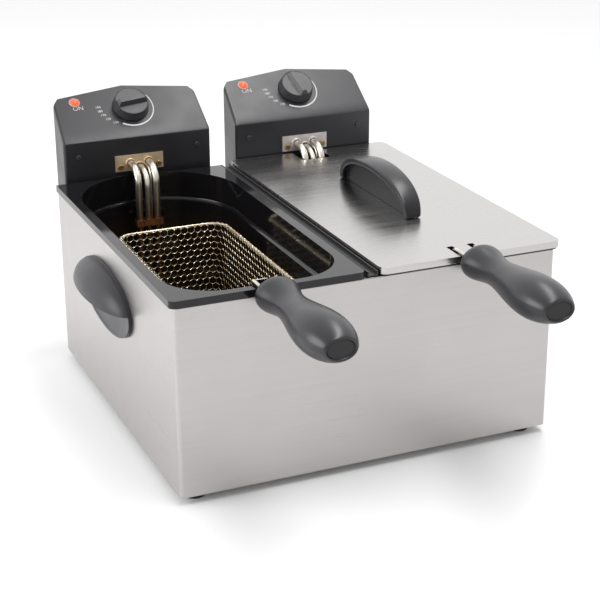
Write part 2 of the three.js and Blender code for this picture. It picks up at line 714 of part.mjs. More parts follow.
// The head's solid, moved inwards by an inset. An open one runs on past the back.
function headBody(inset, open = false) {
  const far = HEAD_Y + 90;
  const stepY = HEAD_Y + TAIL_DEPTH;
  const mid = backAt(PANEL_MID_LENGTH);
  const panelDrop = inset / Math.cos(PANEL_SLOPE);
  const front = HEAD_Y + inset;
  const floor = TAIL_BOTTOM_Z + inset;
  const profile = open
    ? [[front, floor], [far, floor], [far, panelZ(far) - panelDrop], [front, panelZ(front) - panelDrop]]
    : [
      [front, floor],
      [stepY - TAIL_CHAMFER - inset / 2, floor],
      [stepY - inset, floor + TAIL_CHAMFER - inset / 2],
      [stepY - inset, HEAD_STEP_Z - HEAD_STEP + inset * 0.43],
      [mid + 1 - inset, HEAD_STEP_Z + inset * 0.43],
      [mid + 1 - inset, panelZ(mid + 1 - inset) - panelDrop],
      [front, panelZ(front) - panelDrop],
    ];
  const half = HEAD_HALF - inset;
  const shoulder = backAt(PANEL_SIDE_LENGTH);
  const back = open
    ? [[half - HEAD_TAPER, far], [-half + HEAD_TAPER, far]]
    : [
      [half - HEAD_TAPER, shoulder - HEAD_CHAMFER],
      [half - HEAD_TAPER - HEAD_CHAMFER, shoulder - inset],
      [0, mid - inset],
      [-half + HEAD_TAPER + HEAD_CHAMFER, shoulder - inset],
      [-half + HEAD_TAPER, shoulder - HEAD_CHAMFER],
    ];
  const plan = [[-half, HEAD_Y + inset], [half, HEAD_Y + inset], ...back];
  return sideways(profile, -HEAD_HALF - 5, HEAD_HALF + 5)
    .intersect(prism(plan, TAIL_BOTTOM_Z - 5, HEAD_EDGE_Z + 90));
}

const onPanel = (x, along, lift) =>
  point(x, HEAD_Y + along * Math.cos(PANEL_SLOPE), HEAD_EDGE_Z + along * Math.sin(PANEL_SLOPE))
    .addScaledVector(PANEL_NORMAL, lift);

const through = (place, direction, radius, sides = 16) =>
  bar(place.clone().addScaledVector(direction, -20), direction, 40, radius, sides);

function makeHead(unit, side) {
  const middle = side * HEAD_CENTRE;
  const shift = (solid) => solid.translate([middle, 0, 0]);
  const room = headBody(HEAD_WALL, true);
  const wallMiddle = HEAD_Y + HEAD_WALL / 2;

  let front = headBody(0).subtract(room);
  for (const x of [-TUBE_OFFSET, TUBE_OFFSET]) {
    front = front.subtract(bar(point(x, wallMiddle + 5, TUBE_EXIT_Z), FORWARD, 10, TUBE_RADIUS + 0.6));
  }
  front = front.subtract(
    bar(point(0, wallMiddle + 5, SENSOR_EXIT_Z), FORWARD, 10, SENSOR_RADIUS + 0.6),
  );
  front = front.subtract(bar(onPanel(KNOB_OFFSET, KNOB_ALONG, -6), PANEL_NORMAL, 12, SHAFT_RADIUS + 0.8));
  front = front.subtract(
    bar(onPanel(-LENS_OFFSET, LENS_ALONG, -6), PANEL_NORMAL, 12, LENS_RADIUS + GAP),
  );
  add(`${unit}_head_cover`, shift(front), FINISH.headPlastic);

  const slimRoom = headBody(HEAD_WALL + GAP, true);
  let rear = headBody(0).intersect(slimRoom).subtract(headBody(HEAD_WALL));
  const buttonHole = point(CUTOUT_OFFSET, backFaceAt(CUTOUT_OFFSET) - 15, CUTOUT_Z);
  rear = rear.subtract(bar(buttonHole, BACKWARD, 30, BUTTON_RADIUS + 0.6));
  const tailY = HEAD_Y + TAIL_DEPTH;
  rear = rear.subtract(bar(point(0, tailY - 10, GLAND_Z), BACKWARD, 20, GLAND_RADIUS + GAP));
  add(`${unit}_head_back_cover`, shift(rear), FINISH.darkPlastic);

  makeElement(unit, side);
  makePlate(unit, middle);
  makeControls(unit, middle);
}

function makeElement(unit, side) {
  const middle = side * HEAD_CENTRE;
  const pan = side * POT_CENTRE;
  const inside = HEAD_Y + HEAD_WALL + 6;
  const half = (hand) => [
    point(middle + hand * TUBE_OFFSET, inside, TUBE_EXIT_Z),
    point(middle + hand * TUBE_OFFSET, LEG_Y, TUBE_EXIT_Z),
    point(middle + hand * TUBE_OFFSET, LEG_Y, LOOP_Z),
    point(middle + hand * TUBE_OFFSET, LEG_Y - 30, LOOP_Z),
    point(pan + hand * LOOP_OUTER, LOOP_BACK_Y, LOOP_Z),
    point(pan + hand * LOOP_OUTER, LOOP_FRONT_Y, LOOP_Z),
    point(pan + hand * LOOP_INNER, LOOP_FRONT_Y, LOOP_Z),
    point(pan + hand * LOOP_INNER, LOOP_BACK_Y - 20, LOOP_Z),
  ];
  const rise = (hand) => bend(half(hand).slice(0, 3), TUBE_BEND, 4);
  const loop = bend([...half(-1).slice(1), ...half(1).slice(1).reverse()], LOOP_BEND, 3);
  const nodes = [...rise(-1).slice(0, -1), ...loop.slice(1, -1), ...rise(1).reverse().slice(1)];
  add(`${unit}_heating_element`, rod(nodes, TUBE_RADIUS, 8), FINISH.elementTube);

  const sensor = bend([
    point(middle, inside, SENSOR_EXIT_Z),
    point(middle, LEG_Y, SENSOR_EXIT_Z),
    point(middle, LEG_Y, SENSOR_END_Z),
  ], TUBE_BEND, 5);
  add(`${unit}_sensor_tube`, rod(sensor, SENSOR_RADIUS, 8), FINISH.elementTube);

  const reach = TUBE_OFFSET + TUBE_RADIUS + CLAMP_WALL;
  const thick = TUBE_RADIUS + CLAMP_WALL;
  let clamp = box(
    [middle - reach, LEG_Y - thick, CLAMP_Z - CLAMP_HEIGHT / 2],
    [middle + reach, LEG_Y + thick, CLAMP_Z + CLAMP_HEIGHT / 2],
  );
  for (const [x, radius] of [[-TUBE_OFFSET, TUBE_RADIUS], [0, SENSOR_RADIUS], [TUBE_OFFSET, TUBE_RADIUS]]) {
    clamp = clamp.subtract(through(point(middle + x, LEG_Y, CLAMP_Z), UP, radius + GAP));
  }
  add(`${unit}_element_clamp`, clamp, FINISH.copper);
}

function screw(place, direction, headRadius) {
  const under = place.clone().addScaledVector(direction, GAP);
  const dome = bar(under, direction, 1.6, headRadius, 12, headRadius * 0.75);
  const slot = new THREE.BoxGeometry(headRadius * 2.4, 0.8, 0.8);
  slot.translate(under.x, under.y - 1.6, under.z);
  return dome.subtract(toSolid(slot));
}

function makePlate(unit, middle) {
  const back = HEAD_Y - GAP;
  const front = back - PLATE_THICKNESS;
  let plate = box([middle - PLATE_HALF, front, PLATE_LOW_Z], [middle + PLATE_HALF, back, PLATE_HIGH_Z]);
  for (const x of [-TUBE_OFFSET, TUBE_OFFSET]) {
    plate = plate.subtract(through(point(middle + x, back, TUBE_EXIT_Z), FORWARD, TUBE_RADIUS + 0.5));
  }
  plate = plate.subtract(through(point(middle, back, SENSOR_EXIT_Z), FORWARD, SENSOR_RADIUS + 0.5));
  add(`${unit}_element_plate`, plate, FINISH.zincPlate);
  for (const [hand, handName] of [[-1, 'left'], [1, 'right']]) {
    const onPlate = point(middle + hand * SCREW_OFFSET, front, SCREW_Z);
    add(`${unit}_plate_screw_${handName}`, screw(onPlate, FORWARD, SCREW_HEAD), FINISH.brass);
    const onFace = point(middle + hand * FACE_SCREW_OFFSET, HEAD_Y, FACE_SCREW_Z);
    add(`${unit}_cover_screw_${handName}`, screw(onFace, FORWARD, FACE_SCREW_HEAD), FINISH.knobPlastic);
  }
}

function makeControls(unit, middle) {
  const base = onPanel(middle + KNOB_OFFSET, KNOB_ALONG, KNOB_LIFT);
  const turn = new THREE.Matrix4().makeRotationX(PANEL_SLOPE).setPosition(base);
  const disc = prism(arc(0, 0, KNOB_RADIUS, 0, 345, 23), 0, KNOB_BASE);
  const ridge = box(
    [-KNOB_RADIUS + 1, -KNOB_RIDGE_HALF, KNOB_BASE - 1],
    [KNOB_RADIUS - 1, KNOB_RIDGE_HALF, KNOB_RIDGE_HEIGHT],
  );
  const socket = prism(arc(0, 0, SHAFT_RADIUS + GAP, 0, 330, 11), -1, KNOB_BASE - 2);
  const knob = disc.add(ridge).subtract(socket).transform(turn.elements);
  add(`${unit}_knob`, knob, FINISH.knobPlastic);

  const under = THERMOSTAT_DEPTH;
  const shaft = bar(
    onPanel(middle + KNOB_OFFSET, KNOB_ALONG, -under + GAP), PANEL_NORMAL,
    under + KNOB_LIFT + KNOB_BASE - 2 - 2 * GAP, SHAFT_RADIUS, 12,
  );
  add(`${unit}_thermostat_shaft`, shaft, FINISH.brass);

  const can = new THREE.BoxGeometry(2 * THERMOSTAT_HALF, 2 * THERMOSTAT_HALF, THERMOSTAT_HEIGHT);
  can.translate(0, 0, -THERMOSTAT_HEIGHT / 2);
  can.applyMatrix4(new THREE.Matrix4().makeRotationX(PANEL_SLOPE)
    .setPosition(onPanel(middle + KNOB_OFFSET, KNOB_ALONG, -under)));
  add(`${unit}_thermostat`, toSolid(can), FINISH.steel);

  const lens = bar(
    onPanel(middle - LENS_OFFSET, LENS_ALONG, -HEAD_WALL), PANEL_NORMAL,
    HEAD_WALL + 1.8, LENS_RADIUS, 16, LENS_RADIUS * 0.8,
  );
  add(`${unit}_indicator_lens`, lens, FINISH.lens);

  const buttonX = middle + CUTOUT_OFFSET;
  const switchFace = backFaceAt(CUTOUT_OFFSET + CUTOUT_HALF) - HEAD_WALL - 1;
  add(`${unit}_thermal_cutout`, box(
    [buttonX - CUTOUT_HALF, switchFace - CUTOUT_THICKNESS, CUTOUT_Z - CUTOUT_HEIGHT / 2],
    [buttonX + CUTOUT_HALF, switchFace, CUTOUT_Z + CUTOUT_HEIGHT / 2],
  ), FINISH.darkPlastic);
  const buttonFoot = switchFace + BUTTON_TRAVEL + GAP;
  const buttonTip = backFaceAt(CUTOUT_OFFSET) + BUTTON_PROUD;
  add(`${unit}_reset_button`, bar(
    point(buttonX, buttonFoot, CUTOUT_Z), BACKWARD, buttonTip - buttonFoot, BUTTON_RADIUS, 14,
  ), FINISH.lens);

  const tailY = HEAD_Y + TAIL_DEPTH;
  const gland = bar(
    point(middle, tailY - HEAD_WALL, GLAND_Z), BACKWARD, GLAND_LENGTH, GLAND_RADIUS, 16, GLAND_RADIUS * 0.7,
  );
  const glandBore = bar(point(middle, tailY - 10, GLAND_Z), BACKWARD, 40, GLAND_BORE, 12);
  add(`${unit}_cable_gland`, gland.subtract(glandBore), FINISH.rubber);
}

// ---------------------------------------------------------------- lid

function makeLid(side) {
  const middle = side * POT_CENTRE;
  const centre = side * RIM_CENTRE;
  const reach = RIM_HALF + LID_CLEARANCE + LID_SHEET;
  const front = RIM_FRONT_Y - LID_CLEARANCE - LID_SHEET;
  const back = HEAD_Y - LID_BACK_GAP;
  const under = LID_TOP_Z - LID_SHEET;
  const low = LID_TOP_Z - LID_SKIRT;
  const corner = RIM_CORNER + LID_CLEARANCE;
  let lid = prism(
    roundedRectangle(centre - reach, centre + reach, front, back, corner + LID_SHEET),
    low, LID_TOP_Z,
  );
  lid = lid.subtract(prism(
    roundedRectangle(
      centre - reach + LID_SHEET, centre + reach - LID_SHEET, front + LID_SHEET, back + 20, corner,
    ), low - 1, under,
  ));
  for (const wire of [-1, 1]) {
    const x = middle + wire * FORK_PITCH / 2;
    lid = lid.subtract(box(
      [x - LID_SLOT_WIDTH / 2, front - 1, low - 1],
      [x + LID_SLOT_WIDTH / 2, front + LID_SLOT_LENGTH, LID_TOP_Z + 1],
    ));
  }
  const head = side * HEAD_CENTRE;
  lid = lid.subtract(box(
    [head - LID_NOTCH_HALF, LEG_Y - TUBE_RADIUS - 6, low - 1],
    [head + LID_NOTCH_HALF, back + 1, LID_TOP_Z + 1],
  ));
  lid = lid.subtract(box(
    [head - PLATE_HALF - 1, back - LID_RELIEF, low - 1],
    [head + PLATE_HALF + 1, back + 1, LID_TOP_Z + 1],
  ));
  add('lid', lid, FINISH.steel);

  const archPoint = (share, height) => {
    const angle = Math.PI * share;
    return [
      -(LID_HANDLE_LENGTH / 2 - LID_HANDLE_HEIGHT + height) * Math.cos(angle),
      height * Math.sin(angle),
    ];
  };
  const archLine = (height, reverse) => {
    const line = Array.from({ length: 15 }, (_, i) => archPoint(i / 14, height));
    return reverse ? line.reverse() : line;
  };
  const outline = [
    ...archLine(LID_HANDLE_HEIGHT, false),
    ...archLine(LID_HANDLE_HEIGHT - LID_HANDLE_THICKNESS, true),
  ].map(([y, z]) => [y, LID_TOP_Z + GAP + z]);
  const leaf = prism(
    [-1, 1].flatMap((hand) => Array.from({ length: 9 }, (_, i) => {
      const along = hand * (1 - i / 4);
      const half = LID_HANDLE_HALF * (0.55 + 0.45 * Math.cos(along * Math.PI / 2));
      return [-hand * half, along * (LID_HANDLE_LENGTH / 2 + 0.5)];
    })).reverse(),
    LID_TOP_Z, LID_TOP_Z + 2 * LID_HANDLE_HEIGHT,
  );
  const underArch = archLine(LID_HANDLE_HEIGHT - LID_HANDLE_THICKNESS / 2, false)
    .map(([y, z]) => [y, LID_TOP_Z + GAP + z]);
  const web = sideways(underArch, -LID_WEB_HALF, LID_WEB_HALF);
  const handle = sideways(outline, -LID_HANDLE_HALF, LID_HANDLE_HALF)
    .intersect(leaf).add(web).translate([middle - 3, 0, 0]);
  add('lid_handle', handle, FINISH.gripPlastic);
  for (const [end, endName] of [[-1, 'front'], [1, 'rear']]) {
    const y = end * (LID_HANDLE_LENGTH / 2 - LID_HANDLE_THICKNESS / 2 - 0.5);
    const below = bar(point(middle - 3, y, under - GAP - 1.6), UP, 1.6, 2.6, 12);
    add(`lid_screw_${endName}`, below, FINISH.brightWire);
  }
}

// ---------------------------------------------------------------- the whole object

makeHousing();
for (const [side, unit] of [[-1, 'left'], [1, 'right']]) {
  add(`${unit}_pot`, pot(side), FINISH.enamel);
  add(`${unit}_basket_mesh`, basket(side), FINISH.basketWire);
  add(`${unit}_basket_rim`, basketRim(side), FINISH.basketWire);
  add(`${unit}_basket_bracket`, bracket(side), FINISH.brightWire);
  add(`${unit}_handle_wire`, fork(side), FINISH.brightWire);
  add(`${unit}_grip`, grip(side), FINISH.gripPlastic);
  makeHead(unit, side);
}
makeLid(1);

const bounds = new THREE.Box3().setFromObject(fryer);
fryer.position.set(
  -(bounds.min.x + bounds.max.x) / 2,
  -(bounds.min.y + bounds.max.y) / 2,
  -bounds.min.z,
);

export default fryer;
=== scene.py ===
"""The looks of a double countertop deep fryer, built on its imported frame.

Sizes are given in millimetres and turned into metres where a mesh is made. All places are in the
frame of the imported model: +Z is up, the front faces -Y, and the worktop is z = 0.
"""

import json
import logging
import math
from contextlib import contextmanager
from dataclasses import dataclass, field
from enum import Enum
from typing import Callable, Iterator, Sequence

import bmesh
import bpy
from mathutils import Matrix, Quaternion, Vector

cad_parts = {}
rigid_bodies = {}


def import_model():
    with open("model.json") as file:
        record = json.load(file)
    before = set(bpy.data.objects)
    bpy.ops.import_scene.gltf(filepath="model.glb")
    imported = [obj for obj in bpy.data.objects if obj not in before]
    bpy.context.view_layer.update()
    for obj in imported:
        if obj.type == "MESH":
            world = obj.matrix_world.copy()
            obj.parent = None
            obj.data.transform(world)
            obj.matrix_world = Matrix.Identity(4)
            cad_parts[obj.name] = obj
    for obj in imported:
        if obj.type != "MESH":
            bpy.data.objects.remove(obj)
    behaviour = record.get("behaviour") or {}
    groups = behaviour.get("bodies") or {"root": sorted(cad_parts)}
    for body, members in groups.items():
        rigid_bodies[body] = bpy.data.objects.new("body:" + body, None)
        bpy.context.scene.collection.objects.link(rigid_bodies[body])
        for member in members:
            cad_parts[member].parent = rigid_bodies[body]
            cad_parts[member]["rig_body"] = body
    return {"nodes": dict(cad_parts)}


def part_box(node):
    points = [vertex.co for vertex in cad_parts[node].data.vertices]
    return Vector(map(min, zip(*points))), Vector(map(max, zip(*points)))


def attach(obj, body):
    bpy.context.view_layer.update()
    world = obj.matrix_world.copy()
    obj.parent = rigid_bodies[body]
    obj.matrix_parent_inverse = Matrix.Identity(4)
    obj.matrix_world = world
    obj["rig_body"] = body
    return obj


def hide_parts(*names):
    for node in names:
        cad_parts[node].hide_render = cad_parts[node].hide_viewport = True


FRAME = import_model()

MM = 0.001
UNIT_ACROSS = 100.75        # from the housing's middle to each pot's middle, in millimetres
HEAD_ACROSS = 97.5          # the same for each control head
CASING_BACK = 235.95        # how far back the casing reaches, in millimetres
LOG = logging.getLogger("fryer")

Colour = tuple[float, float, float]
Point = tuple[float, float, float]


def mm(*values: float) -> Vector:
    """A point or size given in millimetres, as a vector in metres."""
    return Vector(values) * MM


# ------------------------------------------------------------------ shader node groups


class Sockets:
    """Makes a shader node group with named inputs and outputs."""

    def __init__(self, name: str) -> None:
        """Starts an empty group.

        Args:
            name: The group's name.
        """
        self.tree = bpy.data.node_groups.new(name, "ShaderNodeTree")
        self.inside = self.tree.nodes.new("NodeGroupInput")
        self.outside = self.tree.nodes.new("NodeGroupOutput")

    def take(self, name: str, kind: str = "NodeSocketFloat", value: float | None = None) -> None:
        """Adds an input.

        Args:
            name: The socket's name.
            kind: The socket's type.
            value: Its default.
        """
        socket = self.tree.interface.new_socket(name=name, in_out="INPUT", socket_type=kind)
        if value is not None:
            socket.default_value = value

    def give(self, name: str, kind: str = "NodeSocketFloat") -> None:
        """Adds an output.

        Args:
            name: The socket's name.
            kind: The socket's type.
        """
        self.tree.interface.new_socket(name=name, in_out="OUTPUT", socket_type=kind)

    def node(self, kind: str, **settings: object) -> bpy.types.Node:
        """Adds a node.

        Args:
            kind: The node's type.
            **settings: Properties to set on it.

        Returns:
            The node.
        """
        made = self.tree.nodes.new(kind)
        for name, value in settings.items():
            setattr(made, name, value)
        return made

    def join(self, start: bpy.types.NodeSocket, end: bpy.types.NodeSocket) -> None:
        """Links two sockets."""
        self.tree.links.new(start, end)

    def noise(self, vector: bpy.types.NodeSocket, scale: float, detail: float) -> bpy.types.Node:
        """Adds a noise texture.

        Args:
            vector: Where its coordinates come from.
            scale: Its scale.
            detail: Its detail.

        Returns:
            The texture node.
        """
        texture = self.node("ShaderNodeTexNoise")
        texture.inputs["Scale"].default_value = scale
        texture.inputs["Detail"].default_value = detail
        self.join(vector, texture.inputs["Vector"])
        return texture

    def spread(
        self,
        value: bpy.types.NodeSocket,
        low: float,
        high: float,
        to_low: float = 0.0,
        to_high: float = 1.0,
    ) -> bpy.types.NodeSocket:
        """Stretches a value from one range to another.

        Args:
            value: The value.
            low: Where the range starts.
            high: Where it ends.
            to_low: What the start becomes.
            to_high: What the end becomes.

        Returns:
            The stretched value's socket.
        """
        node = self.node("ShaderNodeMapRange")
        self.join(value, node.inputs["Value"])
        node.inputs["From Min"].default_value = low
        node.inputs["From Max"].default_value = high
        node.inputs["To Min"].default_value = to_low
        node.inputs["To Max"].default_value = to_high
        return node.outputs["Result"]

    def math(self, operation: str, first: object, second: object) -> bpy.types.NodeSocket:
        """Adds a math node.

        Args:
            operation: What it does.
            first: A socket or a number.
            second: A socket or a number.

        Returns:
            The result's socket.
        """
        node = self.node("ShaderNodeMath", operation=operation)
        for socket, value in zip(node.inputs, (first, second)):
            if isinstance(value, bpy.types.NodeSocket):
                self.join(value, socket)
            else:
                socket.default_value = value
        return node.outputs[0]


def varied(group: Sockets, amount: bpy.types.NodeSocket) -> bpy.types.NodeSocket:
    """A group's base value moved up and down by a mask.

    Args:
        group: The group being made, with inputs Base and Swing.
        amount: The mask, from 0 to 1.

    Returns:
        The socket of Base + Swing * (mask - 0.5).
    """
    middle = group.math("SUBTRACT", amount, 0.5)
    swing = group.math("MULTIPLY", middle, group.inside.outputs["Swing"])
    return group.math("ADD", group.inside.outputs["Base"], swing)


def tinted(
    group: Sockets, mask: bpy.types.NodeSocket, strength: bpy.types.NodeSocket
) -> bpy.types.NodeSocket:
    """A group's colour, darkened where a mask is low.

    Args:
        group: The group being made, with an input Colour.
        mask: The mask, from 0 to 1.
        strength: How much darker the colour is where the mask is 0.

    Returns:
        The colour's socket.
    """
    less = group.math("SUBTRACT", 1.0, mask)
    shade = group.math("SUBTRACT", 1.0, group.math("MULTIPLY", less, strength))
    node = group.node("ShaderNodeVectorMath", operation="SCALE")
    group.join(group.inside.outputs["Colour"], node.inputs[0])
    group.join(shade, node.inputs["Scale"])
    return node.outputs["Vector"]


class Effects:
    """The shader effects that more than one finish uses, each built once."""

    def __init__(self) -> None:
        """Builds every group."""
        self.brushing = self._brushing()
        self.grain = self._grain()
        self.wear = self._wear()
        self.tint_and_reflection = self._tint_and_reflection()

    @staticmethod
    def _brushing() -> bpy.types.NodeTree:
        """Fine parallel lines with faint wider bands, as a brushed sheet has.

        Returns:
            The group. Its Vector is stretched along the lines before it comes in.
        """
        group = Sockets("Brushed lines")
        group.take("Vector", "NodeSocketVector")
        group.take("Colour", "NodeSocketColor")
        group.take("Contrast", value=0.06)
        group.take("Base", value=0.3)
        group.take("Swing", value=0.08)
        for name, kind in (
            ("Colour", "NodeSocketColor"),
            ("Roughness", "NodeSocketFloat"),
            ("Height", "NodeSocketFloat"),
        ):
            group.give(name, kind)
        vector = group.inside.outputs["Vector"]
        fine = group.noise(vector, 1.0, 3.0)
        bands = group.noise(vector, 0.13, 2.0)
        lines = group.spread(fine.outputs["Fac"], 0.3, 0.7)
        wide = group.spread(bands.outputs["Fac"], 0.3, 0.7)
        both = group.math(
            "ADD", group.math("MULTIPLY", lines, 0.65), group.math("MULTIPLY", wide, 0.35)
        )
        group.join(
            tinted(group, both, group.inside.outputs["Contrast"]), group.outside.inputs["Colour"]
        )
        group.join(varied(group, both), group.outside.inputs["Roughness"])
        group.join(lines, group.outside.inputs["Height"])
        return group.tree

    @staticmethod
    def _grain() -> bpy.types.NodeTree:
        """The fine spark-eroded grain of a moulded plastic, with a faint mottling.

        Returns:
            The group.
        """
        group = Sockets("Moulded grain")
        group.take("Vector", "NodeSocketVector")
        group.take("Colour", "NodeSocketColor")
        group.take("Contrast", value=0.15)
        group.take("Base", value=0.45)
        group.take("Swing", value=0.1)
        group.take("Scale", value=1800.0)
        for name, kind in (
            ("Colour", "NodeSocketColor"),
            ("Roughness", "NodeSocketFloat"),
            ("Height", "NodeSocketFloat"),
        ):
            group.give(name, kind)
        vector = group.inside.outputs["Vector"]
        pits = group.node("ShaderNodeTexNoise")
        pits.inputs["Detail"].default_value = 2.0
        group.join(vector, pits.inputs["Vector"])
        group.join(group.inside.outputs["Scale"], pits.inputs["Scale"])
        mottle = group.noise(vector, 35.0, 3.0)
        clouds = group.spread(mottle.outputs["Fac"], 0.3, 0.7)
        group.join(
            tinted(group, clouds, group.inside.outputs["Contrast"]), group.outside.inputs["Colour"]
        )
        group.join(varied(group, clouds), group.outside.inputs["Roughness"])
        group.join(
            group.spread(pits.outputs["Fac"], 0.3, 0.7), group.outside.inputs["Height"]
        )
        return group.tree

    @staticmethod
    def _wear() -> bpy.types.NodeTree:
        """Faint wiped smudges and small scratches that change how a surface shines.

        Returns:
            The group.
        """
        group = Sockets("Handling marks")
        group.take("Vector", "NodeSocketVector")
        group.take("Base", value=0.2)
        group.take("Swing", value=0.1)
        group.give("Roughness")
        group.give("Mask")
        vector = group.inside.outputs["Vector"]
        smudge = group.noise(vector, 14.0, 4.0)
        smudge.inputs["Distortion"].default_value = 0.6
        rubs = group.noise(vector, 220.0, 2.0)
        soft = group.spread(smudge.outputs["Fac"], 0.35, 0.7)
        hard = group.spread(rubs.outputs["Fac"], 0.55, 0.75)
        mask = group.math(
            "ADD", group.math("MULTIPLY", soft, 0.8), group.math("MULTIPLY", hard, 0.2)
        )
        group.join(varied(group, mask), group.outside.inputs["Roughness"])
        group.join(mask, group.outside.inputs["Mask"])
        return group.tree

    @staticmethod
    def _tint_and_reflection() -> bpy.types.NodeTree:
        """A surface that goes from one colour to another down its height, with patches. It gives
        the heater tube its real heat tint and the enamel bowl its painted oil reflection.

        Returns:
            The group.
        """
        group = Sockets("Height tint and painted reflection")
        group.take("Vector", "NodeSocketVector")
        group.take("Upper", "NodeSocketColor")
        group.take("Lower", "NodeSocketColor")
        group.take("High", value=0.2)
        group.take("Low", value=0.12)
        group.take("Patches", value=0.35)
        group.give("Colour", "NodeSocketColor")
        group.give("Mask")
        vector = group.inside.outputs["Vector"]
        split = group.node("ShaderNodeSeparateXYZ")
        group.join(vector, split.inputs[0])
        blotch = group.noise(vector, 90.0, 4.0)
        lift = group.math("SUBTRACT", blotch.outputs["Fac"], 0.5)
        shift = group.math("MULTIPLY", lift, group.inside.outputs["Patches"])
        level = group.node("ShaderNodeMapRange")
        level.interpolation_type = "SMOOTHSTEP"
        group.join(split.outputs["Z"], level.inputs["Value"])
        group.join(group.inside.outputs["Low"], level.inputs["From Min"])
        group.join(group.inside.outputs["High"], level.inputs["From Max"])
        mask = group.node("ShaderNodeMath", operation="ADD", use_clamp=True)
        group.join(level.outputs["Result"], mask.inputs[0])
        group.join(shift, mask.inputs[1])
        mix = group.node("ShaderNodeMix", data_type="RGBA")
        group.join(mask.outputs[0], mix.inputs["Factor"])
        group.join(group.inside.outputs["Lower"], mix.inputs["A"])
        group.join(group.inside.outputs["Upper"], mix.inputs["B"])
        group.join(mix.outputs["Result"], group.outside.inputs["Colour"])
        group.join(mask.outputs[0], group.outside.inputs["Mask"])
        return group.tree


# ------------------------------------------------------------------ finishes


class Lines(Enum):
    """Which way a brushed sheet's lines run, as the stretch of the coordinates."""

    LEVEL = (7.0, 7.0, 1400.0)
    ACROSS = (7.0, 1400.0, 1400.0)


@dataclass(frozen=True)
class Finish:
    """A plain finish. Each kind adds its own nodes to it."""

    name: str
    slot: str | None
    colour: Colour
    roughness: float
    metallic: float = 0.0
    specular: float = 0.5
    coat: float = 0.0

    def material(self, effects: Effects) -> bpy.types.Material:
        """The finish's material, made the first time it is asked for.

        Args:
            effects: The shared shader groups.

        Returns:
            The material.
        """
        known = bpy.data.materials.get(self.name)
        if known is not None:
            return known
        made = bpy.data.materials.new(self.name)
        made.use_nodes = True
        made.diffuse_color = (*self.colour, 1.0)
        shader = made.node_tree.nodes["Principled BSDF"]
        shader.inputs["Base Color"].default_value = (*self.colour, 1.0)
        shader.inputs["Roughness"].default_value = self.roughness
        shader.inputs["Metallic"].default_value = self.metallic
        shader.inputs["Specular IOR Level"].default_value = self.specular
        shader.inputs["Coat Weight"].default_value = self.coat
        shader.inputs["Coat Roughness"].default_value = 0.08
        self.dress(made.node_tree, shader, effects)
        return made

    def dress(
        self, tree: bpy.types.NodeTree, shader: bpy.types.Node, effects: Effects
    ) -> None:
        """Adds the finish's own nodes.

        Args:
            tree: The material's nodes; not used by a plain finish.
            shader: Its Principled shader; not used by a plain finish.
            effects: The shared shader groups; not used by a plain finish.
        """

    @staticmethod
    def place(tree: bpy.types.NodeTree, scale: Point = (1.0, 1.0, 1.0)) -> bpy.types.NodeSocket:
        """Object coordinates, stretched.

        Args:
            tree: The material's nodes.
            scale: The stretch.

        Returns:
            The coordinates' socket.
        """
        source = tree.nodes.new("ShaderNodeTexCoord")
        mapping = tree.nodes.new("ShaderNodeMapping")
        mapping.inputs["Scale"].default_value = scale
        tree.links.new(source.outputs["Object"], mapping.inputs["Vector"])
        return mapping.outputs["Vector"]

    @staticmethod
    def effect(
        tree: bpy.types.NodeTree, group: bpy.types.NodeTree, **values: object
    ) -> bpy.types.Node:
        """Places a shader group with its own values.

        Args:
            tree: The material's nodes.
            group: The group.
            **values: Its inputs by name, with _ for a space.

        Returns:
            The group's node.
        """
        node = tree.nodes.new("ShaderNodeGroup")
        node.node_tree = group
        for name, value in values.items():
            socket = node.inputs[name.replace("_", " ")]
            if isinstance(value, bpy.types.NodeSocket):
                tree.links.new(value, socket)
            elif isinstance(value, tuple):
                socket.default_value = (*value, 1.0)
            else:
                socket.default_value = value
        return node

    @staticmethod
    def bump(
        tree: bpy.types.NodeTree,
        shader: bpy.types.Node,
        height: bpy.types.NodeSocket,
        strength: float,
        depth: float,
    ) -> None:
        """Lets a height shape the surface's normal.

        Args:
            tree: The material's nodes.
            shader: Its Principled shader.
            height: The height, from 0 to 1.
            strength: How strong the relief is.
            depth: How deep it is, in metres.
        """
        node = tree.nodes.new("ShaderNodeBump")
        node.inputs["Strength"].default_value = strength
        node.inputs["Distance"].default_value = depth
        tree.links.new(height, node.inputs["Height"])
        tree.links.new(node.outputs["Normal"], shader.inputs["Normal"])


@dataclass(frozen=True)
class BrushedSteel(Finish):
    """Stainless sheet with lines that run one way."""

    metallic: float = 1.0
    lines: Lines = Lines.LEVEL
    contrast: float = 0.1
    relief: float = 0.12

    def dress(
        self, tree: bpy.types.NodeTree, shader: bpy.types.Node, effects: Effects
    ) -> None:
        """Adds brushed lines and faint handling marks.

        Args:
            tree: The material's nodes.
            shader: Its Principled shader.
            effects: The shared shader groups.
        """
        lines = self.effect(
            tree, effects.brushing, Vector=self.place(tree, self.lines.value),
            Colour=self.colour, Contrast=self.contrast, Base=self.roughness, Swing=0.12,
        )
        marks = self.effect(
            tree, effects.wear, Vector=self.place(tree), Base=0.0, Swing=0.07
        )
        both = tree.nodes.new("ShaderNodeMath")
        tree.links.new(lines.outputs["Roughness"], both.inputs[0])
        tree.links.new(marks.outputs["Roughness"], both.inputs[1])
        tree.links.new(both.outputs[0], shader.inputs["Roughness"])
        tree.links.new(lines.outputs["Colour"], shader.inputs["Base Color"])
        self.bump(tree, shader, lines.outputs["Height"], self.relief, 0.00004)


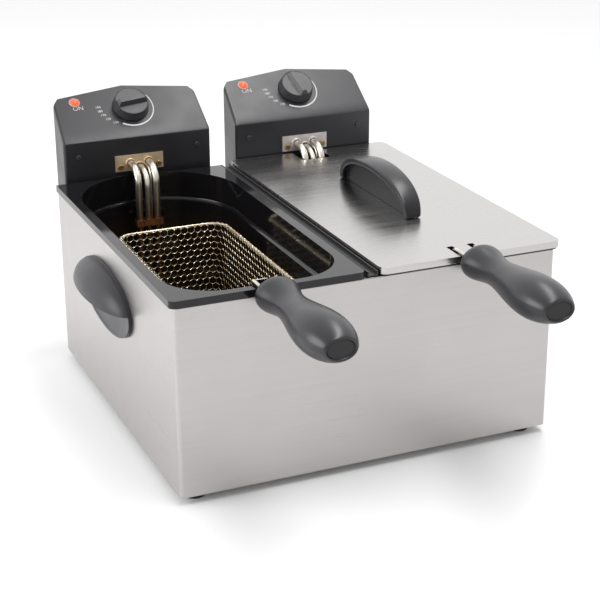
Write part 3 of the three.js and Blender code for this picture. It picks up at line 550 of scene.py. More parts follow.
@dataclass(frozen=True)
class Enamel(Finish):
    """Glossy stove enamel with orange-peel, wiped marks and a painted warm-brown reflection of oil
    low in the bowl.
    """

    ripple: float = 0.06
    # Painted reflection: the warm brown that the oil throws on the bowl, laid into the colour below
    # the ledge's height.
    painted_oil_reflection: Colour = (0.020, 0.012, 0.005)
    high: float = 0.165
    low: float = 0.125

    def dress(
        self, tree: bpy.types.NodeTree, shader: bpy.types.Node, effects: Effects
    ) -> None:
        """Adds the wiped marks, the orange-peel and, low down, a painted warm-brown reflection of
        oil.

        Args:
            tree: The material's nodes.
            shader: Its Principled shader.
            effects: The shared shader groups.
        """
        # Painted reflection: the colour turns to the warm brown between 0.165 and 0.125 m high, on
        # the inside and outside of the pot alike.
        tint_and_reflection = self.effect(
            tree, effects.tint_and_reflection, Vector=self.place(tree), Upper=self.colour,
            Lower=self.painted_oil_reflection, High=self.high, Low=self.low,
        )
        tree.links.new(tint_and_reflection.outputs["Colour"], shader.inputs["Base Color"])
        marks = self.effect(
            tree, effects.wear, Vector=self.place(tree), Base=self.roughness, Swing=0.05
        )
        tree.links.new(marks.outputs["Roughness"], shader.inputs["Roughness"])
        peel = tree.nodes.new("ShaderNodeTexNoise")
        peel.inputs["Scale"].default_value = 240.0
        peel.inputs["Detail"].default_value = 1.0
        tree.links.new(self.place(tree), peel.inputs["Vector"])
        self.bump(tree, shader, peel.outputs["Fac"], self.ripple, 0.0002)


@dataclass(frozen=True)
class MouldedPlastic(Finish):
    """Satin plastic with a moulded grain."""

    grain: float = 1800.0
    contrast: float = 0.12
    relief: float = 0.12

    def dress(
        self, tree: bpy.types.NodeTree, shader: bpy.types.Node, effects: Effects
    ) -> None:
        """Adds the grain and its mottling.

        Args:
            tree: The material's nodes.
            shader: Its Principled shader.
            effects: The shared shader groups.
        """
        grain = self.effect(
            tree, effects.grain, Vector=self.place(tree), Colour=self.colour,
            Contrast=self.contrast, Base=self.roughness, Swing=0.08, Scale=self.grain,
        )
        tree.links.new(grain.outputs["Colour"], shader.inputs["Base Color"])
        tree.links.new(grain.outputs["Roughness"], shader.inputs["Roughness"])
        self.bump(tree, shader, grain.outputs["Height"], self.relief, 0.0001)


@dataclass(frozen=True)
class SplitGrip(MouldedPlastic):
    """The plastic of a grip moulded in two halves, with the fine joint between them."""

    joint_height: float = 0.1969
    joint_width: float = 0.0005

    def dress(
        self, tree: bpy.types.NodeTree, shader: bpy.types.Node, effects: Effects
    ) -> None:
        """Adds the grain, then a dark hairline at the joint's height.

        Args:
            tree: The material's nodes.
            shader: Its Principled shader.
            effects: The shared shader groups.
        """
        super().dress(tree, shader, effects)
        split = tree.nodes.new("ShaderNodeSeparateXYZ")
        tree.links.new(self.place(tree), split.inputs[0])
        gap = tree.nodes.new("ShaderNodeMath")
        gap.operation = "COMPARE"
        gap.inputs[1].default_value = self.joint_height
        gap.inputs[2].default_value = self.joint_width
        tree.links.new(split.outputs["Z"], gap.inputs[0])
        dark = tree.nodes.new("ShaderNodeMix")
        dark.data_type = "RGBA"
        tree.links.new(gap.outputs[0], dark.inputs["Factor"])
        tree.links.new(shader.inputs["Base Color"].links[0].from_socket, dark.inputs["A"])
        dark.inputs["B"].default_value = (0.006, 0.006, 0.007, 1.0)
        tree.links.new(dark.outputs["Result"], shader.inputs["Base Color"])


@dataclass(frozen=True)
class DrawnWire(Finish):
    """Bright or gold-toned wire with small dull spots."""

    metallic: float = 1.0
    spots: Colour = (0.2, 0.15, 0.08)

    def dress(
        self, tree: bpy.types.NodeTree, shader: bpy.types.Node, effects: Effects
    ) -> None:
        """Adds the dull spots.

        Args:
            tree: The material's nodes.
            shader: Its Principled shader.
            effects: The shared shader groups.
        """
        marks = self.effect(
            tree, effects.wear, Vector=self.place(tree, (3.0, 3.0, 3.0)),
            Base=self.roughness, Swing=0.2,
        )
        tree.links.new(marks.outputs["Roughness"], shader.inputs["Roughness"])
        mix = tree.nodes.new("ShaderNodeMix")
        mix.data_type = "RGBA"
        tree.links.new(marks.outputs["Mask"], mix.inputs["Factor"])
        mix.inputs["A"].default_value = (*self.colour, 1.0)
        mix.inputs["B"].default_value = (*self.spots, 1.0)
        tree.links.new(mix.outputs["Result"], shader.inputs["Base Color"])


@dataclass(frozen=True)
class TintedTube(Finish):
    """Heater tube: bright steel above, heat-tinted below."""

    metallic: float = 1.0
    lower: Colour = (0.30, 0.16, 0.075)
    high: float = 0.197
    low: float = 0.135

    def dress(
        self, tree: bpy.types.NodeTree, shader: bpy.types.Node, effects: Effects
    ) -> None:
        """Adds the change of colour down the tube.

        Args:
            tree: The material's nodes.
            shader: Its Principled shader.
            effects: The shared shader groups.
        """
        tint_and_reflection = self.effect(
            tree, effects.tint_and_reflection, Vector=self.place(tree), Upper=self.colour,
            Lower=self.lower, High=self.high, Low=self.low,
        )
        tree.links.new(tint_and_reflection.outputs["Colour"], shader.inputs["Base Color"])
        marks = self.effect(
            tree, effects.wear, Vector=self.place(tree, (4.0, 4.0, 1.0)),
            Base=self.roughness, Swing=0.14,
        )
        tree.links.new(marks.outputs["Roughness"], shader.inputs["Roughness"])


@dataclass(frozen=True)
class Plating(Finish):
    """Yellow or copper plating with uneven colour."""

    metallic: float = 1.0
    second: Colour = (0.3, 0.2, 0.1)

    def dress(
        self, tree: bpy.types.NodeTree, shader: bpy.types.Node, effects: Effects
    ) -> None:
        """Adds the uneven colour and a fine tooth.

        Args:
            tree: The material's nodes.
            shader: Its Principled shader.
            effects: The shared shader groups.
        """
        marks = self.effect(
            tree, effects.wear, Vector=self.place(tree, (5.0, 5.0, 5.0)),
            Base=self.roughness, Swing=0.16,
        )
        tree.links.new(marks.outputs["Roughness"], shader.inputs["Roughness"])
        mix = tree.nodes.new("ShaderNodeMix")
        mix.data_type = "RGBA"
        tree.links.new(marks.outputs["Mask"], mix.inputs["Factor"])
        mix.inputs["A"].default_value = (*self.colour, 1.0)
        mix.inputs["B"].default_value = (*self.second, 1.0)
        tree.links.new(mix.outputs["Result"], shader.inputs["Base Color"])
        self.bump(tree, shader, marks.outputs["Mask"], 0.15, 0.0002)


@dataclass(frozen=True)
class PilotLens(Finish):
    """A lit red-orange lens with a fine prismatic pattern."""

    glow: float = 0.35

    def dress(
        self, tree: bpy.types.NodeTree, shader: bpy.types.Node, effects: Effects
    ) -> None:
        """Adds the prismatic pattern and the glow.

        Args:
            tree: The material's nodes.
            shader: Its Principled shader.
            effects: The shared shader groups; not used here.
        """
        cells = tree.nodes.new("ShaderNodeTexVoronoi")
        cells.inputs["Scale"].default_value = 900.0
        tree.links.new(self.place(tree), cells.inputs["Vector"])
        self.bump(tree, shader, cells.outputs["Distance"], 0.3, 0.0003)
        mix = tree.nodes.new("ShaderNodeMix")
        mix.data_type = "RGBA"
        tree.links.new(cells.outputs["Distance"], mix.inputs["Factor"])
        mix.inputs["A"].default_value = (*self.colour, 1.0)
        mix.inputs["B"].default_value = (0.95, 0.16, 0.04, 1.0)
        tree.links.new(mix.outputs["Result"], shader.inputs["Base Color"])
        tree.links.new(mix.outputs["Result"], shader.inputs["Emission Color"])
        shader.inputs["Emission Strength"].default_value = self.glow


STEEL = BrushedSteel("brushed steel", "steel", (0.52, 0.50, 0.495), 0.34)
STEEL_FLAT = BrushedSteel(
    "brushed steel sheet", "steel", (0.58, 0.57, 0.56), 0.36, lines=Lines.ACROSS
)
LID_STEEL = BrushedSteel(
    "lid steel", "lid_steel", (0.54, 0.525, 0.515), 0.26, lines=Lines.ACROSS, contrast=0.03,
    relief=0.03,
)
ENAMEL = Enamel("black enamel", "enamel", (0.007, 0.0065, 0.0075), 0.09, specular=0.4)
CHANNEL = MouldedPlastic("black channel", "enamel", (0.02, 0.02, 0.022), 0.35)
HEAD = MouldedPlastic("head plastic", "head_plastic", (0.015, 0.0142, 0.018), 0.36, specular=0.62)
CUP = MouldedPlastic("cup plastic", "head_plastic", (0.022, 0.021, 0.026), 0.38, specular=0.5)
BACK = MouldedPlastic("back plastic", "back_plastic", (0.028, 0.028, 0.031), 0.5)
GRIP = SplitGrip("grip plastic", "grip_plastic", (0.012, 0.012, 0.016), 0.31, specular=0.6)
BLADE = MouldedPlastic("handle plastic", "grip_plastic", (0.011, 0.011, 0.014), 0.3, specular=0.5)
KNOB = MouldedPlastic(
    "knob plastic", "knob_plastic", (0.030, 0.030, 0.034), 0.42, specular=0.8, relief=0.3
)
# Painted shade: near-black plastic for the disc that darkens the grip's end recess.
RECESS_SHADE = MouldedPlastic("painted recess shade", "grip_plastic", (0.007, 0.007, 0.008), 0.5)
RUBBER = MouldedPlastic("foot rubber", "rubber", (0.013, 0.013, 0.013), 0.7, grain=900.0)
MESH_WIRE = DrawnWire(
    "basket wire", "basket_wire", (0.86, 0.78, 0.62), 0.32, spots=(0.50, 0.38, 0.22)
)
BRIGHT = DrawnWire(
    "bright wire", "bright_wire", (0.74, 0.71, 0.66), 0.2, spots=(0.5, 0.46, 0.4)
)
TUBE = TintedTube("heater tube", "tube", (0.80, 0.76, 0.68), 0.36)
COPPER = Plating("copper clip", "copper", (0.55, 0.26, 0.13), 0.34, second=(0.42, 0.19, 0.09))
ZINC = Plating(
    "zinc plate", "zinc_plate", (0.80, 0.64, 0.44), 0.42, metallic=0.6, second=(0.58, 0.40, 0.24)
)
PALE_ZINC = Plating(
    "pale zinc plate", "zinc_plate", (0.74, 0.70, 0.68), 0.4, metallic=0.6,
    second=(0.52, 0.46, 0.44),
)
BRASS = Plating("brass screw", "brass", (0.6, 0.42, 0.2), 0.3, second=(0.33, 0.2, 0.08))
LENS = PilotLens("pilot lens", "lens", (0.8, 0.05, 0.015), 0.15)
BUTTON = MouldedPlastic("reset button", "lens", (0.55, 0.04, 0.02), 0.35)
PRINT = MouldedPlastic("white print", None, (0.72, 0.72, 0.73), 0.6, contrast=0.05)
BEZEL = MouldedPlastic("pale bezel", None, (0.5, 0.3, 0.28), 0.4, contrast=0.05)
ORANGE = MouldedPlastic("warm print", None, (0.62, 0.5, 0.5), 0.6, contrast=0.05)


# ------------------------------------------------------------------ modelling bench

Test = Callable[[object], bool]


class Bench:
    """Modelling steps that work on one object at a time, as by hand."""

    @staticmethod
    def clear() -> None:
        """Leaves edit mode and deselects everything."""
        if bpy.context.mode != "OBJECT":
            bpy.ops.object.mode_set(mode="OBJECT")
        bpy.ops.object.select_all(action="DESELECT")

    @classmethod
    def hold(cls, *objects: bpy.types.Object) -> None:
        """Selects objects, and makes the first one active."""
        cls.clear()
        for obj in objects:
            obj.select_set(True)
        bpy.context.view_layer.objects.active = objects[0]

    @classmethod
    @contextmanager
    def editing(cls, obj: bpy.types.Object) -> Iterator[None]:
        """Edit mode on one object.

        Args:
            obj: The object.
        """
        cls.hold(obj)
        bpy.ops.object.mode_set(mode="EDIT")
        yield
        bpy.ops.object.mode_set(mode="OBJECT")

    @staticmethod
    def pick(obj: bpy.types.Object, kind: str, test: Test) -> int:
        """Selects what passes a test, in edit mode, and nothing else.

        Args:
            obj: The object in edit mode.
            kind: VERT, EDGE or FACE.
            test: Tells which to select.

        Returns:
            How many were selected.
        """
        bpy.ops.mesh.select_mode(type=kind)
        bpy.ops.mesh.select_all(action="DESELECT")
        mesh = bmesh.from_edit_mesh(obj.data)
        chosen = [
            item
            for item in {"VERT": mesh.verts, "EDGE": mesh.edges, "FACE": mesh.faces}[kind]
            if test(item)
        ]
        for item in chosen:
            item.select_set(True)
        mesh.select_flush_mode()
        bmesh.update_edit_mesh(obj.data)
        return len(chosen)

    @classmethod
    def added(cls, name: str) -> bpy.types.Object:
        """Names the primitive just added, and bakes its place into its mesh.

        Args:
            name: The object's name.

        Returns:
            The object.
        """
        obj = bpy.context.view_layer.objects.active
        obj.name = name
        obj.data.name = name
        cls.hold(obj)
        bpy.ops.object.transform_apply(location=True, rotation=True, scale=True)
        return obj

    @classmethod
    def block(cls, name: str, low: Vector, high: Vector) -> bpy.types.Object:
        """A block between two corners.

        Args:
            name: The object's name.
            low: Its lowest corner.
            high: Its highest corner.

        Returns:
            The object.
        """
        cls.clear()
        bpy.ops.mesh.primitive_cube_add(size=1.0, location=(low + high) / 2, scale=high - low)
        return cls.added(name)

    @classmethod
    def plate(cls, name: str, line: Sequence[Vector]) -> bpy.types.Object:
        """A flat face with a given outline.

        Args:
            name: The object's name.
            line: The outline's points, in metres, anticlockwise from above.

        Returns:
            The object.
        """
        cls.clear()
        bpy.ops.mesh.primitive_circle_add(vertices=len(line), radius=1.0, fill_type="NGON")
        obj = cls.added(name)
        for vertex, place in zip(obj.data.vertices, line):
            vertex.co = place
        with cls.editing(obj):
            bpy.ops.mesh.select_all(action="SELECT")
            bpy.ops.mesh.remove_doubles(threshold=0.00001)
        return obj

    @classmethod
    def round_bar(
        cls, name: str, start: Vector, along: Vector, radius: float, length: float, sides: int = 48
    ) -> bpy.types.Object:
        """A round bar from a point along a direction.

        Args:
            name: The object's name.
            start: The middle of its first end.
            along: The direction, of length 1.
            radius: Its radius.
            length: Its length.
            sides: How many sides it has.

        Returns:
            The object.
        """
        cls.clear()
        bpy.ops.mesh.primitive_cylinder_add(
            vertices=sides, radius=radius, depth=length, location=start + along * length / 2,
            rotation=along.to_track_quat("Z", "Y").to_euler(),
        )
        return cls.added(name)

    @classmethod
    def ring(
        cls, name: str, centre: Vector, along: Vector, radius: float, thickness: float
    ) -> bpy.types.Object:
        """A round ring.

        Args:
            name: The object's name.
            centre: Its middle.
            along: Its axis.
            radius: The radius of its wire's middle.
            thickness: The wire's radius.

        Returns:
            The object.
        """
        cls.clear()
        bpy.ops.mesh.primitive_torus_add(
            major_radius=radius, minor_radius=thickness, major_segments=40, minor_segments=12,
            location=centre, rotation=along.to_track_quat("Z", "Y").to_euler(),
        )
        return cls.added(name)

    @classmethod
    def modify(cls, obj: bpy.types.Object, kind: str, **settings: object) -> None:
        """Adds a modifier and applies it.

        Args:
            obj: The object.
            kind: The modifier's type.
            **settings: Its properties.
        """
        cls.hold(obj)
        modifier = obj.modifiers.new(kind.lower(), kind)
        for name, value in settings.items():
            setattr(modifier, name, value)
        bpy.ops.object.modifier_apply(modifier=modifier.name)

    @classmethod
    def round_edges(
        cls, obj: bpy.types.Object, width: float, segments: int = 3, angle: float = 40.0
    ) -> None:
        """Rounds every edge sharper than an angle.

        Args:
            obj: The object.
            width: The bevel's width.
            segments: Its segments.
            angle: The angle, in degrees.
        """
        cls.modify(
            obj, "BEVEL", width=width, segments=segments, limit_method="ANGLE",
            angle_limit=math.radians(angle), harden_normals=False, miter_outer="MITER_ARC",
        )

    @classmethod
    def smooth(cls, obj: bpy.types.Object, angle: float = 35.0) -> None:
        """Shades an object smooth, but not over edges sharper than an angle.

        Args:
            obj: The object.
            angle: The angle, in degrees.
        """
        cls.hold(obj)
        bpy.ops.object.shade_smooth_by_angle(angle=math.radians(angle))
        cls.modify(obj, "WEIGHTED_NORMAL", keep_sharp=True)

    @classmethod
    def cut(
        cls, obj: bpy.types.Object, tool: bpy.types.Object, operation: str = "DIFFERENCE"
    ) -> None:
        """Cuts, joins or keeps what is common, and removes the tool.

        Args:
            obj: The object that stays.
            tool: The other one.
            operation: DIFFERENCE, UNION or INTERSECT.
        """
        cls.modify(obj, "BOOLEAN", object=tool, operation=operation, solver="EXACT")
        bpy.data.objects.remove(tool)

    @classmethod
    def together(cls, name: str, parts: Sequence[bpy.types.Object]) -> bpy.types.Object:
        """Joins parts into one object.

        Args:
            name: The object's name.
            parts: The parts.

        Returns:
            The object.
        """
        cls.hold(*parts)
        bpy.ops.object.join()
        parts[0].name = name
        return parts[0]

    @classmethod
    def outward(cls, obj: bpy.types.Object) -> None:
        """Merges doubles and turns the faces of a closed solid outwards.

        Args:
            obj: The solid.
        """
        with cls.editing(obj):
            bpy.ops.mesh.select_all(action="SELECT")
            bpy.ops.mesh.remove_doubles(threshold=0.00001)
            bpy.ops.mesh.normals_make_consistent(inside=False)

    @classmethod
    def twin(cls, node: str, name: str) -> bpy.types.Object:
        """A copy of a CAD node with its triangles merged into clean faces.

        Args:
            node: The node.
            name: The copy's name.

        Returns:
            The copy.
        """
        source = FRAME["nodes"][node]
        obj = bpy.data.objects.new(name, source.data.copy())
        obj.data.materials.clear()
        bpy.context.scene.collection.objects.link(obj)
        with cls.editing(obj):
            bpy.ops.mesh.customdata_custom_splitnormals_clear()
            bpy.ops.mesh.select_all(action="SELECT")
            bpy.ops.mesh.remove_doubles(threshold=0.00002)
            bpy.ops.mesh.dissolve_limited(angle_limit=math.radians(1.0))
        return obj

    @classmethod
    def refined(
        cls, node: str, name: str, width: float = 0.0004, segments: int = 2
    ) -> bpy.types.Object:
        """A copy of a CAD node with softened edges.

        Args:
            node: The node.
            name: The copy's name.
            width: How wide the softened edges are.
            segments: How many faces round each edge.

        Returns:
            The copy.
        """
        obj = cls.twin(node, name)
        cls.round_edges(obj, width, segments)
        cls.smooth(obj)
        return obj

    @classmethod
    def wire(
        cls, name: str, line: Sequence[Vector], radius: float, sides: int = 3, closed: bool = False
    ) -> bpy.types.Object:
        """A round wire along a line.

        Args:
            name: The object's name.
            line: The points it runs through.
            radius: Its radius.
            sides: The roundness of its section.
            closed: Whether its ends meet.

        Returns:
            The object.
        """
        curve = bpy.data.curves.new(name, "CURVE")
        curve.dimensions = "3D"
        spline = curve.splines.new("POLY")
        spline.points.add(len(line) - 1)
        for place, co in zip(spline.points, line):
            place.co = (*co, 1.0)
        spline.use_cyclic_u = closed
        curve.bevel_depth = radius
        curve.bevel_resolution = sides
        curve.use_fill_caps = not closed
        obj = bpy.data.objects.new(name, curve)
        bpy.context.scene.collection.objects.link(obj)
        cls.hold(obj)
        bpy.ops.object.convert(target="MESH")
        obj = bpy.context.view_layer.objects.active
        cls.outward(obj)
        cls.smooth(obj, 50.0)
        return obj


def bent(corners: Sequence[Vector], radius: float, steps: int = 8) -> list[Vector]:
    """A line of points with each inner corner rounded.

    Args:
        corners: The line's corners.
        radius: The bend's radius.
        steps: How many steps each bend has.

    Returns:
        The points.
    """
    line = [corners[0]]
    for before, corner, after in zip(corners, corners[1:], corners[2:]):
        back, on = before - corner, after - corner
        half = back.angle(on) / 2
        reach = min(radius / math.tan(half), back.length / 2, on.length / 2)
        size = reach * math.tan(half)
        start = corner + back.normalized() * reach
        centre = corner + (back.normalized() + on.normalized()).normalized() * size / math.sin(half)
        turn = math.pi - 2 * half
        axis = back.cross(on).normalized()
        line += [
            centre + Quaternion(axis, -turn * step / steps) @ (start - centre)
            for step in range(steps + 1)
        ]
    return [*line, corners[-1]]


def ringed(x: float, y: float, radius: float, start: float, end: float, steps: int) -> list[Vector]:
    """Points on an arc in the level plane, in millimetres and degrees.

    Args:
        x: The arc's middle, across.
        y: The arc's middle, front to back.
        radius: Its radius.
        start: The angle of its first point.
        end: The angle of its last point.
        steps: How many steps it has.

    Returns:
        The points.
    """
    return [
        Vector((
            x + radius * math.cos(math.radians(start + (end - start) * i / steps)),
            y + radius * math.sin(math.radians(start + (end - start) * i / steps)),
            0.0,
        ))
        for i in range(steps + 1)
    ]


# ------------------------------------------------------------------ the object


@dataclass
class Workshop:
    """What each sub-assembly uses to dress its pieces and hang them on the frame."""

    effects: Effects
    made: list[str] = field(default_factory=list)

    def finish(self, obj: bpy.types.Object, look: Finish, *nodes: str, body: str = "") -> None:
        """Gives a piece its finish and its body, and hides the CAD nodes that it replaces.

        Args:
            obj: The piece.
            look: Its finish.
            *nodes: The CAD nodes that it replaces.
            body: The body that it rides on, where that isn't its first node's.
        """
        obj.data.materials.clear()
        obj.data.materials.append(look.material(self.effects))
        for polygon in obj.data.polygons:
            polygon.material_index = 0
        if nodes:
            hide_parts(*nodes)
        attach(obj, body or FRAME["nodes"][nodes[0]]["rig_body"])
        self.made.append(obj.name)
        LOG.info("made %s, %d faces", obj.name, len(obj.data.polygons))

    def paint(self, look: Finish, *nodes: str) -> None:
        """Gives CAD nodes that stay a finish.

        Args:
            look: The finish.
            *nodes: The nodes.
        """
        for node in nodes:
            mesh = FRAME["nodes"][node].data
            mesh.materials.clear()
            mesh.materials.append(look.material(self.effects))
            LOG.info("painted %s", node)

    def refine(self, look: Finish, node: str, width: float = 0.0004, segments: int = 2) -> None:
        """Replaces a CAD node by its softened copy."""
        self.finish(Bench.refined(node, f"{node}_skin", width, segments), look, node)


@dataclass
class Housing:
    """The steel casing with its feet, cup handles, channel, rail and base."""

    shop: Workshop
    half: float = 190.0
    front: float = -144.05
    back: float = CASING_BACK
    low: float = 8.0
    deck: float = 191.5
    corner: float = 4.0
    fold: float = 1.0
    sheet: float = 1.2
    well_half: float = 85.0
    well_front: float = -138.45
    well_back: float = 234.45
    cup_wall: float = 190.3
    cup_y: float = 60.95
    cup_z: float = 131.5
    cup_lip: float = 137.0
    cup_length: float = 80.0
    cup_height: float = 33.0
    cup_proud: float = 26.5
    cup_shell: float = 3.2
    dish_depth: float = 2.4
    dish_rim: float = 2.6

    def build(self) -> None:
        """Makes every piece of the housing."""
        self.casing()
        for side in ("left", "right"):
            self.cup_handle(side)
            for end in ("front", "rear"):
                self.foot(f"foot_{end}_{side}")
        self.shop.paint(STEEL_FLAT, "base_plate", "guide_rail")
        self.shop.refine(CHANNEL, "divider_channel", 0.0005)

    def casing(self) -> None:
        """The folded casing: rounded corners, soft top folds and two wells."""
        obj = Bench.block(
            "casing", mm(-self.half, self.front, self.low), mm(self.half, self.back, self.deck)
        )
        with Bench.editing(obj):
            Bench.pick(obj, "EDGE", lambda e: abs(e.verts[0].co.z - e.verts[1].co.z) > 0.1)
            bpy.ops.mesh.bevel(offset=self.corner * MM, segments=8, affect="EDGES")
            Bench.pick(obj, "FACE", lambda f: f.normal.z < -0.9)
            bpy.ops.mesh.delete(type="FACE")
            top = self.deck * MM - 1e-5
            Bench.pick(obj, "EDGE", lambda e: min(v.co.z for v in e.verts) > top)
            bpy.ops.mesh.bevel(offset=self.fold * MM, segments=3, affect="EDGES")
        Bench.modify(obj, "SOLIDIFY", thickness=self.sheet * MM, offset=-1.0)
        for side in (-1, 1):
            middle = side * UNIT_ACROSS
            well = Bench.block(
                "well",
                mm(middle - self.well_half, self.well_front, self.deck - 20),
                mm(middle + self.well_half, self.well_back, self.deck + 5),
            )
            Bench.cut(obj, well)
        Bench.smooth(obj, 30.0)
        self.shop.finish(obj, STEEL, "housing_shell")

    def foot(self, node: str) -> None:
        """A turned rubber foot with a soft rim and a hollow sole.

        Args:
            node: The CAD foot that it replaces.
        """
        low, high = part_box(node)
        middle = (low + high) / 2
        radius = (high.x - low.x) / 2
        start = Vector((middle.x, middle.y, high.z))
        obj = Bench.round_bar(f"{node}_pad", start, Vector((0, 0, -1)), radius, high.z - low.z)
        with Bench.editing(obj):
            Bench.pick(obj, "FACE", lambda f: f.normal.z > 0.9)
            bpy.ops.transform.resize(value=(0.88, 0.88, 1.0), center_override=start)
            Bench.pick(obj, "FACE", lambda f: f.normal.z < -0.9)
            bpy.ops.mesh.inset(thickness=0.003)
            bpy.ops.mesh.extrude_region_move(TRANSFORM_OT_translate={"value": (0, 0, 0.0012)})
        Bench.round_edges(obj, 0.0008)
        Bench.smooth(obj)
        self.shop.finish(obj, RUBBER, node)

    def cup_handle(self, side: str) -> None:
        """A hood over the top half of an oval base, whose lower half is a shallow dish.

        Args:
            side: left or right.
        """
        sign = -1 if side == "left" else 1
        node = f"side_handle_{side}"
        wall, middle = sign * self.cup_wall, self.cup_y
        centre = mm(wall, middle, self.cup_z)

        def dome(name: str, proud: float, less: float, place: Vector) -> bpy.types.Object:
            """An ellipsoid with its pole pointing out of the wall.

            Args:
                name: The object's name.
                proud: How far it stands out.
                less: How much shorter and lower than the handle it is.
                place: Its middle.

            Returns:
                The object.
            """
            Bench.clear()
            bpy.ops.mesh.primitive_uv_sphere_add(
                segments=96, ring_count=40, radius=1.0, location=place,
                rotation=(0.0, math.pi / 2, 0.0),
            )
            bpy.ops.transform.resize(
                value=mm(proud, self.cup_length - less, self.cup_height - less),
                center_override=place,
            )
            return Bench.added(name)

        def slab(name: str, near: float, far: float, low: float, high: float) -> bpy.types.Object:
            """A block across the whole handle.

            Args:
                name: The object's name.
                near: Its nearest distance from the wall.
                far: Its farthest distance from the wall.
                low: The height of its bottom.
                high: The height of its top.

            Returns:
                The object.
            """
            ends = (wall + sign * near, wall + sign * far)
            return Bench.block(
                name, mm(min(ends), middle - 90, low), mm(max(ends), middle + 90, high)
            )

        hood = dome(f"{node}_cup", self.cup_proud, 0.0, centre)
        Bench.cut(hood, dome("hollow", self.cup_proud - self.cup_shell, self.cup_shell, centre))
        Bench.cut(hood, slab("inside", -40.0, 0.0, 40.0, 190.0))
        Bench.cut(hood, slab("under", -1.0, 60.0, 40.0, self.cup_lip))
        Bench.clear()
        bpy.ops.mesh.primitive_cylinder_add(
            vertices=96, radius=1.0, depth=self.cup_shell * MM,
            location=centre + mm(sign * self.cup_shell / 2, 0, 0),
            rotation=(0.0, math.pi / 2, 0.0),
        )
        bpy.ops.transform.resize(
            value=(1.0, self.cup_length * MM, self.cup_height * MM), center_override=centre
        )
        base = Bench.added("base")
        face = centre + mm(sign * self.cup_shell, 0, 0)
        Bench.cut(base, dome("dish", self.dish_depth, self.dish_rim, face))
        Bench.cut(hood, base, "UNION")
        Bench.round_edges(hood, 0.0009, 3, 50.0)
        Bench.smooth(hood, 40.0)
        self.shop.finish(hood, CUP, node)


@dataclass
class Pot:
    """One oil pot: a rim with a soft edge, and a bowl with a stepped ledge."""

    shop: Workshop
    unit: str
    side: int
    half: float = 83.0
    front: float = -136.45
    back: float = 231.55
    front_corner: float = 50.0
    wall: float = 1.4
    rim: float = 198.7
    ledge: float = 31.0
    floor: float = 61.4
    deck: float = 191.8
    flange_end: float = 10.5
    bulge: float = 86.2

    @property
    def middle(self) -> float:
        """The pot's middle, across."""
        return self.side * UNIT_ACROSS

    def volume(self, name: str, wall: float, top: float) -> bpy.types.Object:
        """The bowl's room as a solid, grown by a wall.

        Args:
            name: The object's name.
            wall: How far it is grown.
            top: The height of its top.

        Returns:
            The object.
        """
        half, r = self.half + wall, self.front_corner + wall
        left, right, front = self.middle - half, self.middle + half, self.front - wall
        line = [
            *ringed(self.middle, self.back - self.half, half, 0, 180, 64),
            *ringed(left + r, front + r, r, 180, 270, 18),
            *ringed(right - r, front + r, r, 270, 360, 18),
        ]
        obj = Bench.plate(name, [Vector((p.x, p.y, top)) * MM for p in line])
        ledge = self.rim - self.ledge
        steps = [
            (0.0, top - (ledge + 3.2 - wall)),
            (0.9, 1.6), (1.6, 0.9), (1.5, 0.7),
            (3.0, ledge - self.floor - 9.0),
            (0.8, 3.4), (1.7, 2.8), (2.9, 1.9), (3.6, 0.9),
        ]
        with Bench.editing(obj):
            bpy.ops.mesh.select_mode(type="FACE")
            bpy.ops.mesh.select_all(action="SELECT")
            bpy.ops.mesh.extrude_region_move(
                TRANSFORM_OT_translate={"value": (0, 0, -steps[0][1] * MM)}
            )
            for inset, drop in steps[1:]:
                bpy.ops.mesh.inset(thickness=inset * MM, depth=0.0)
                bpy.ops.transform.translate(value=(0, 0, -drop * MM))
        Bench.outward(obj)
        return obj

    def build(self) -> None:
        """Makes the pot."""
        low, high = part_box(f"{self.unit}_pot")
        deck = self.deck * MM
        obj = Bench.block(
            f"{self.unit}_pot_enamel",
            Vector((low.x, low.y, deck)),
            Vector((high.x, (CASING_BACK - self.flange_end) * MM, high.z)),
        )
        with Bench.editing(obj):
            Bench.pick(
                obj, "EDGE",
                lambda e: abs(e.verts[0].co.z - e.verts[1].co.z) > 0.005
                and max(v.co.y for v in e.verts) < 0,
            )
            bpy.ops.mesh.bevel(offset=0.006, segments=8, affect="EDGES")
        bulge = Bench.round_bar(
            "bulge", mm(self.middle, self.back - self.half, self.deck), Vector((0, 0, 1)),
            self.bulge * MM, high.z - deck, 128,
        )
        Bench.cut(obj, bulge, "UNION")
        Bench.cut(obj, self.volume("bowl", self.wall, self.rim - 1.0), "UNION")
        Bench.cut(obj, self.volume("room", 0.0, self.rim + 5.0))
        top = high.z - 1e-5
        with Bench.editing(obj):
            bpy.ops.mesh.select_all(action="SELECT")
            bpy.ops.mesh.remove_doubles(threshold=0.00001)
            bpy.ops.mesh.dissolve_limited(angle_limit=math.radians(0.5))
            Bench.pick(
                obj, "EDGE",
                lambda e: min(v.co.z for v in e.verts) > top and e.calc_face_angle(0.0) > 0.8,
            )
            bpy.ops.mesh.bevel(offset=0.0016, segments=4, affect="EDGES", clamp_overlap=True)
        Bench.smooth(obj, 32.0)
        self.shop.finish(obj, ENAMEL, f"{self.unit}_pot")


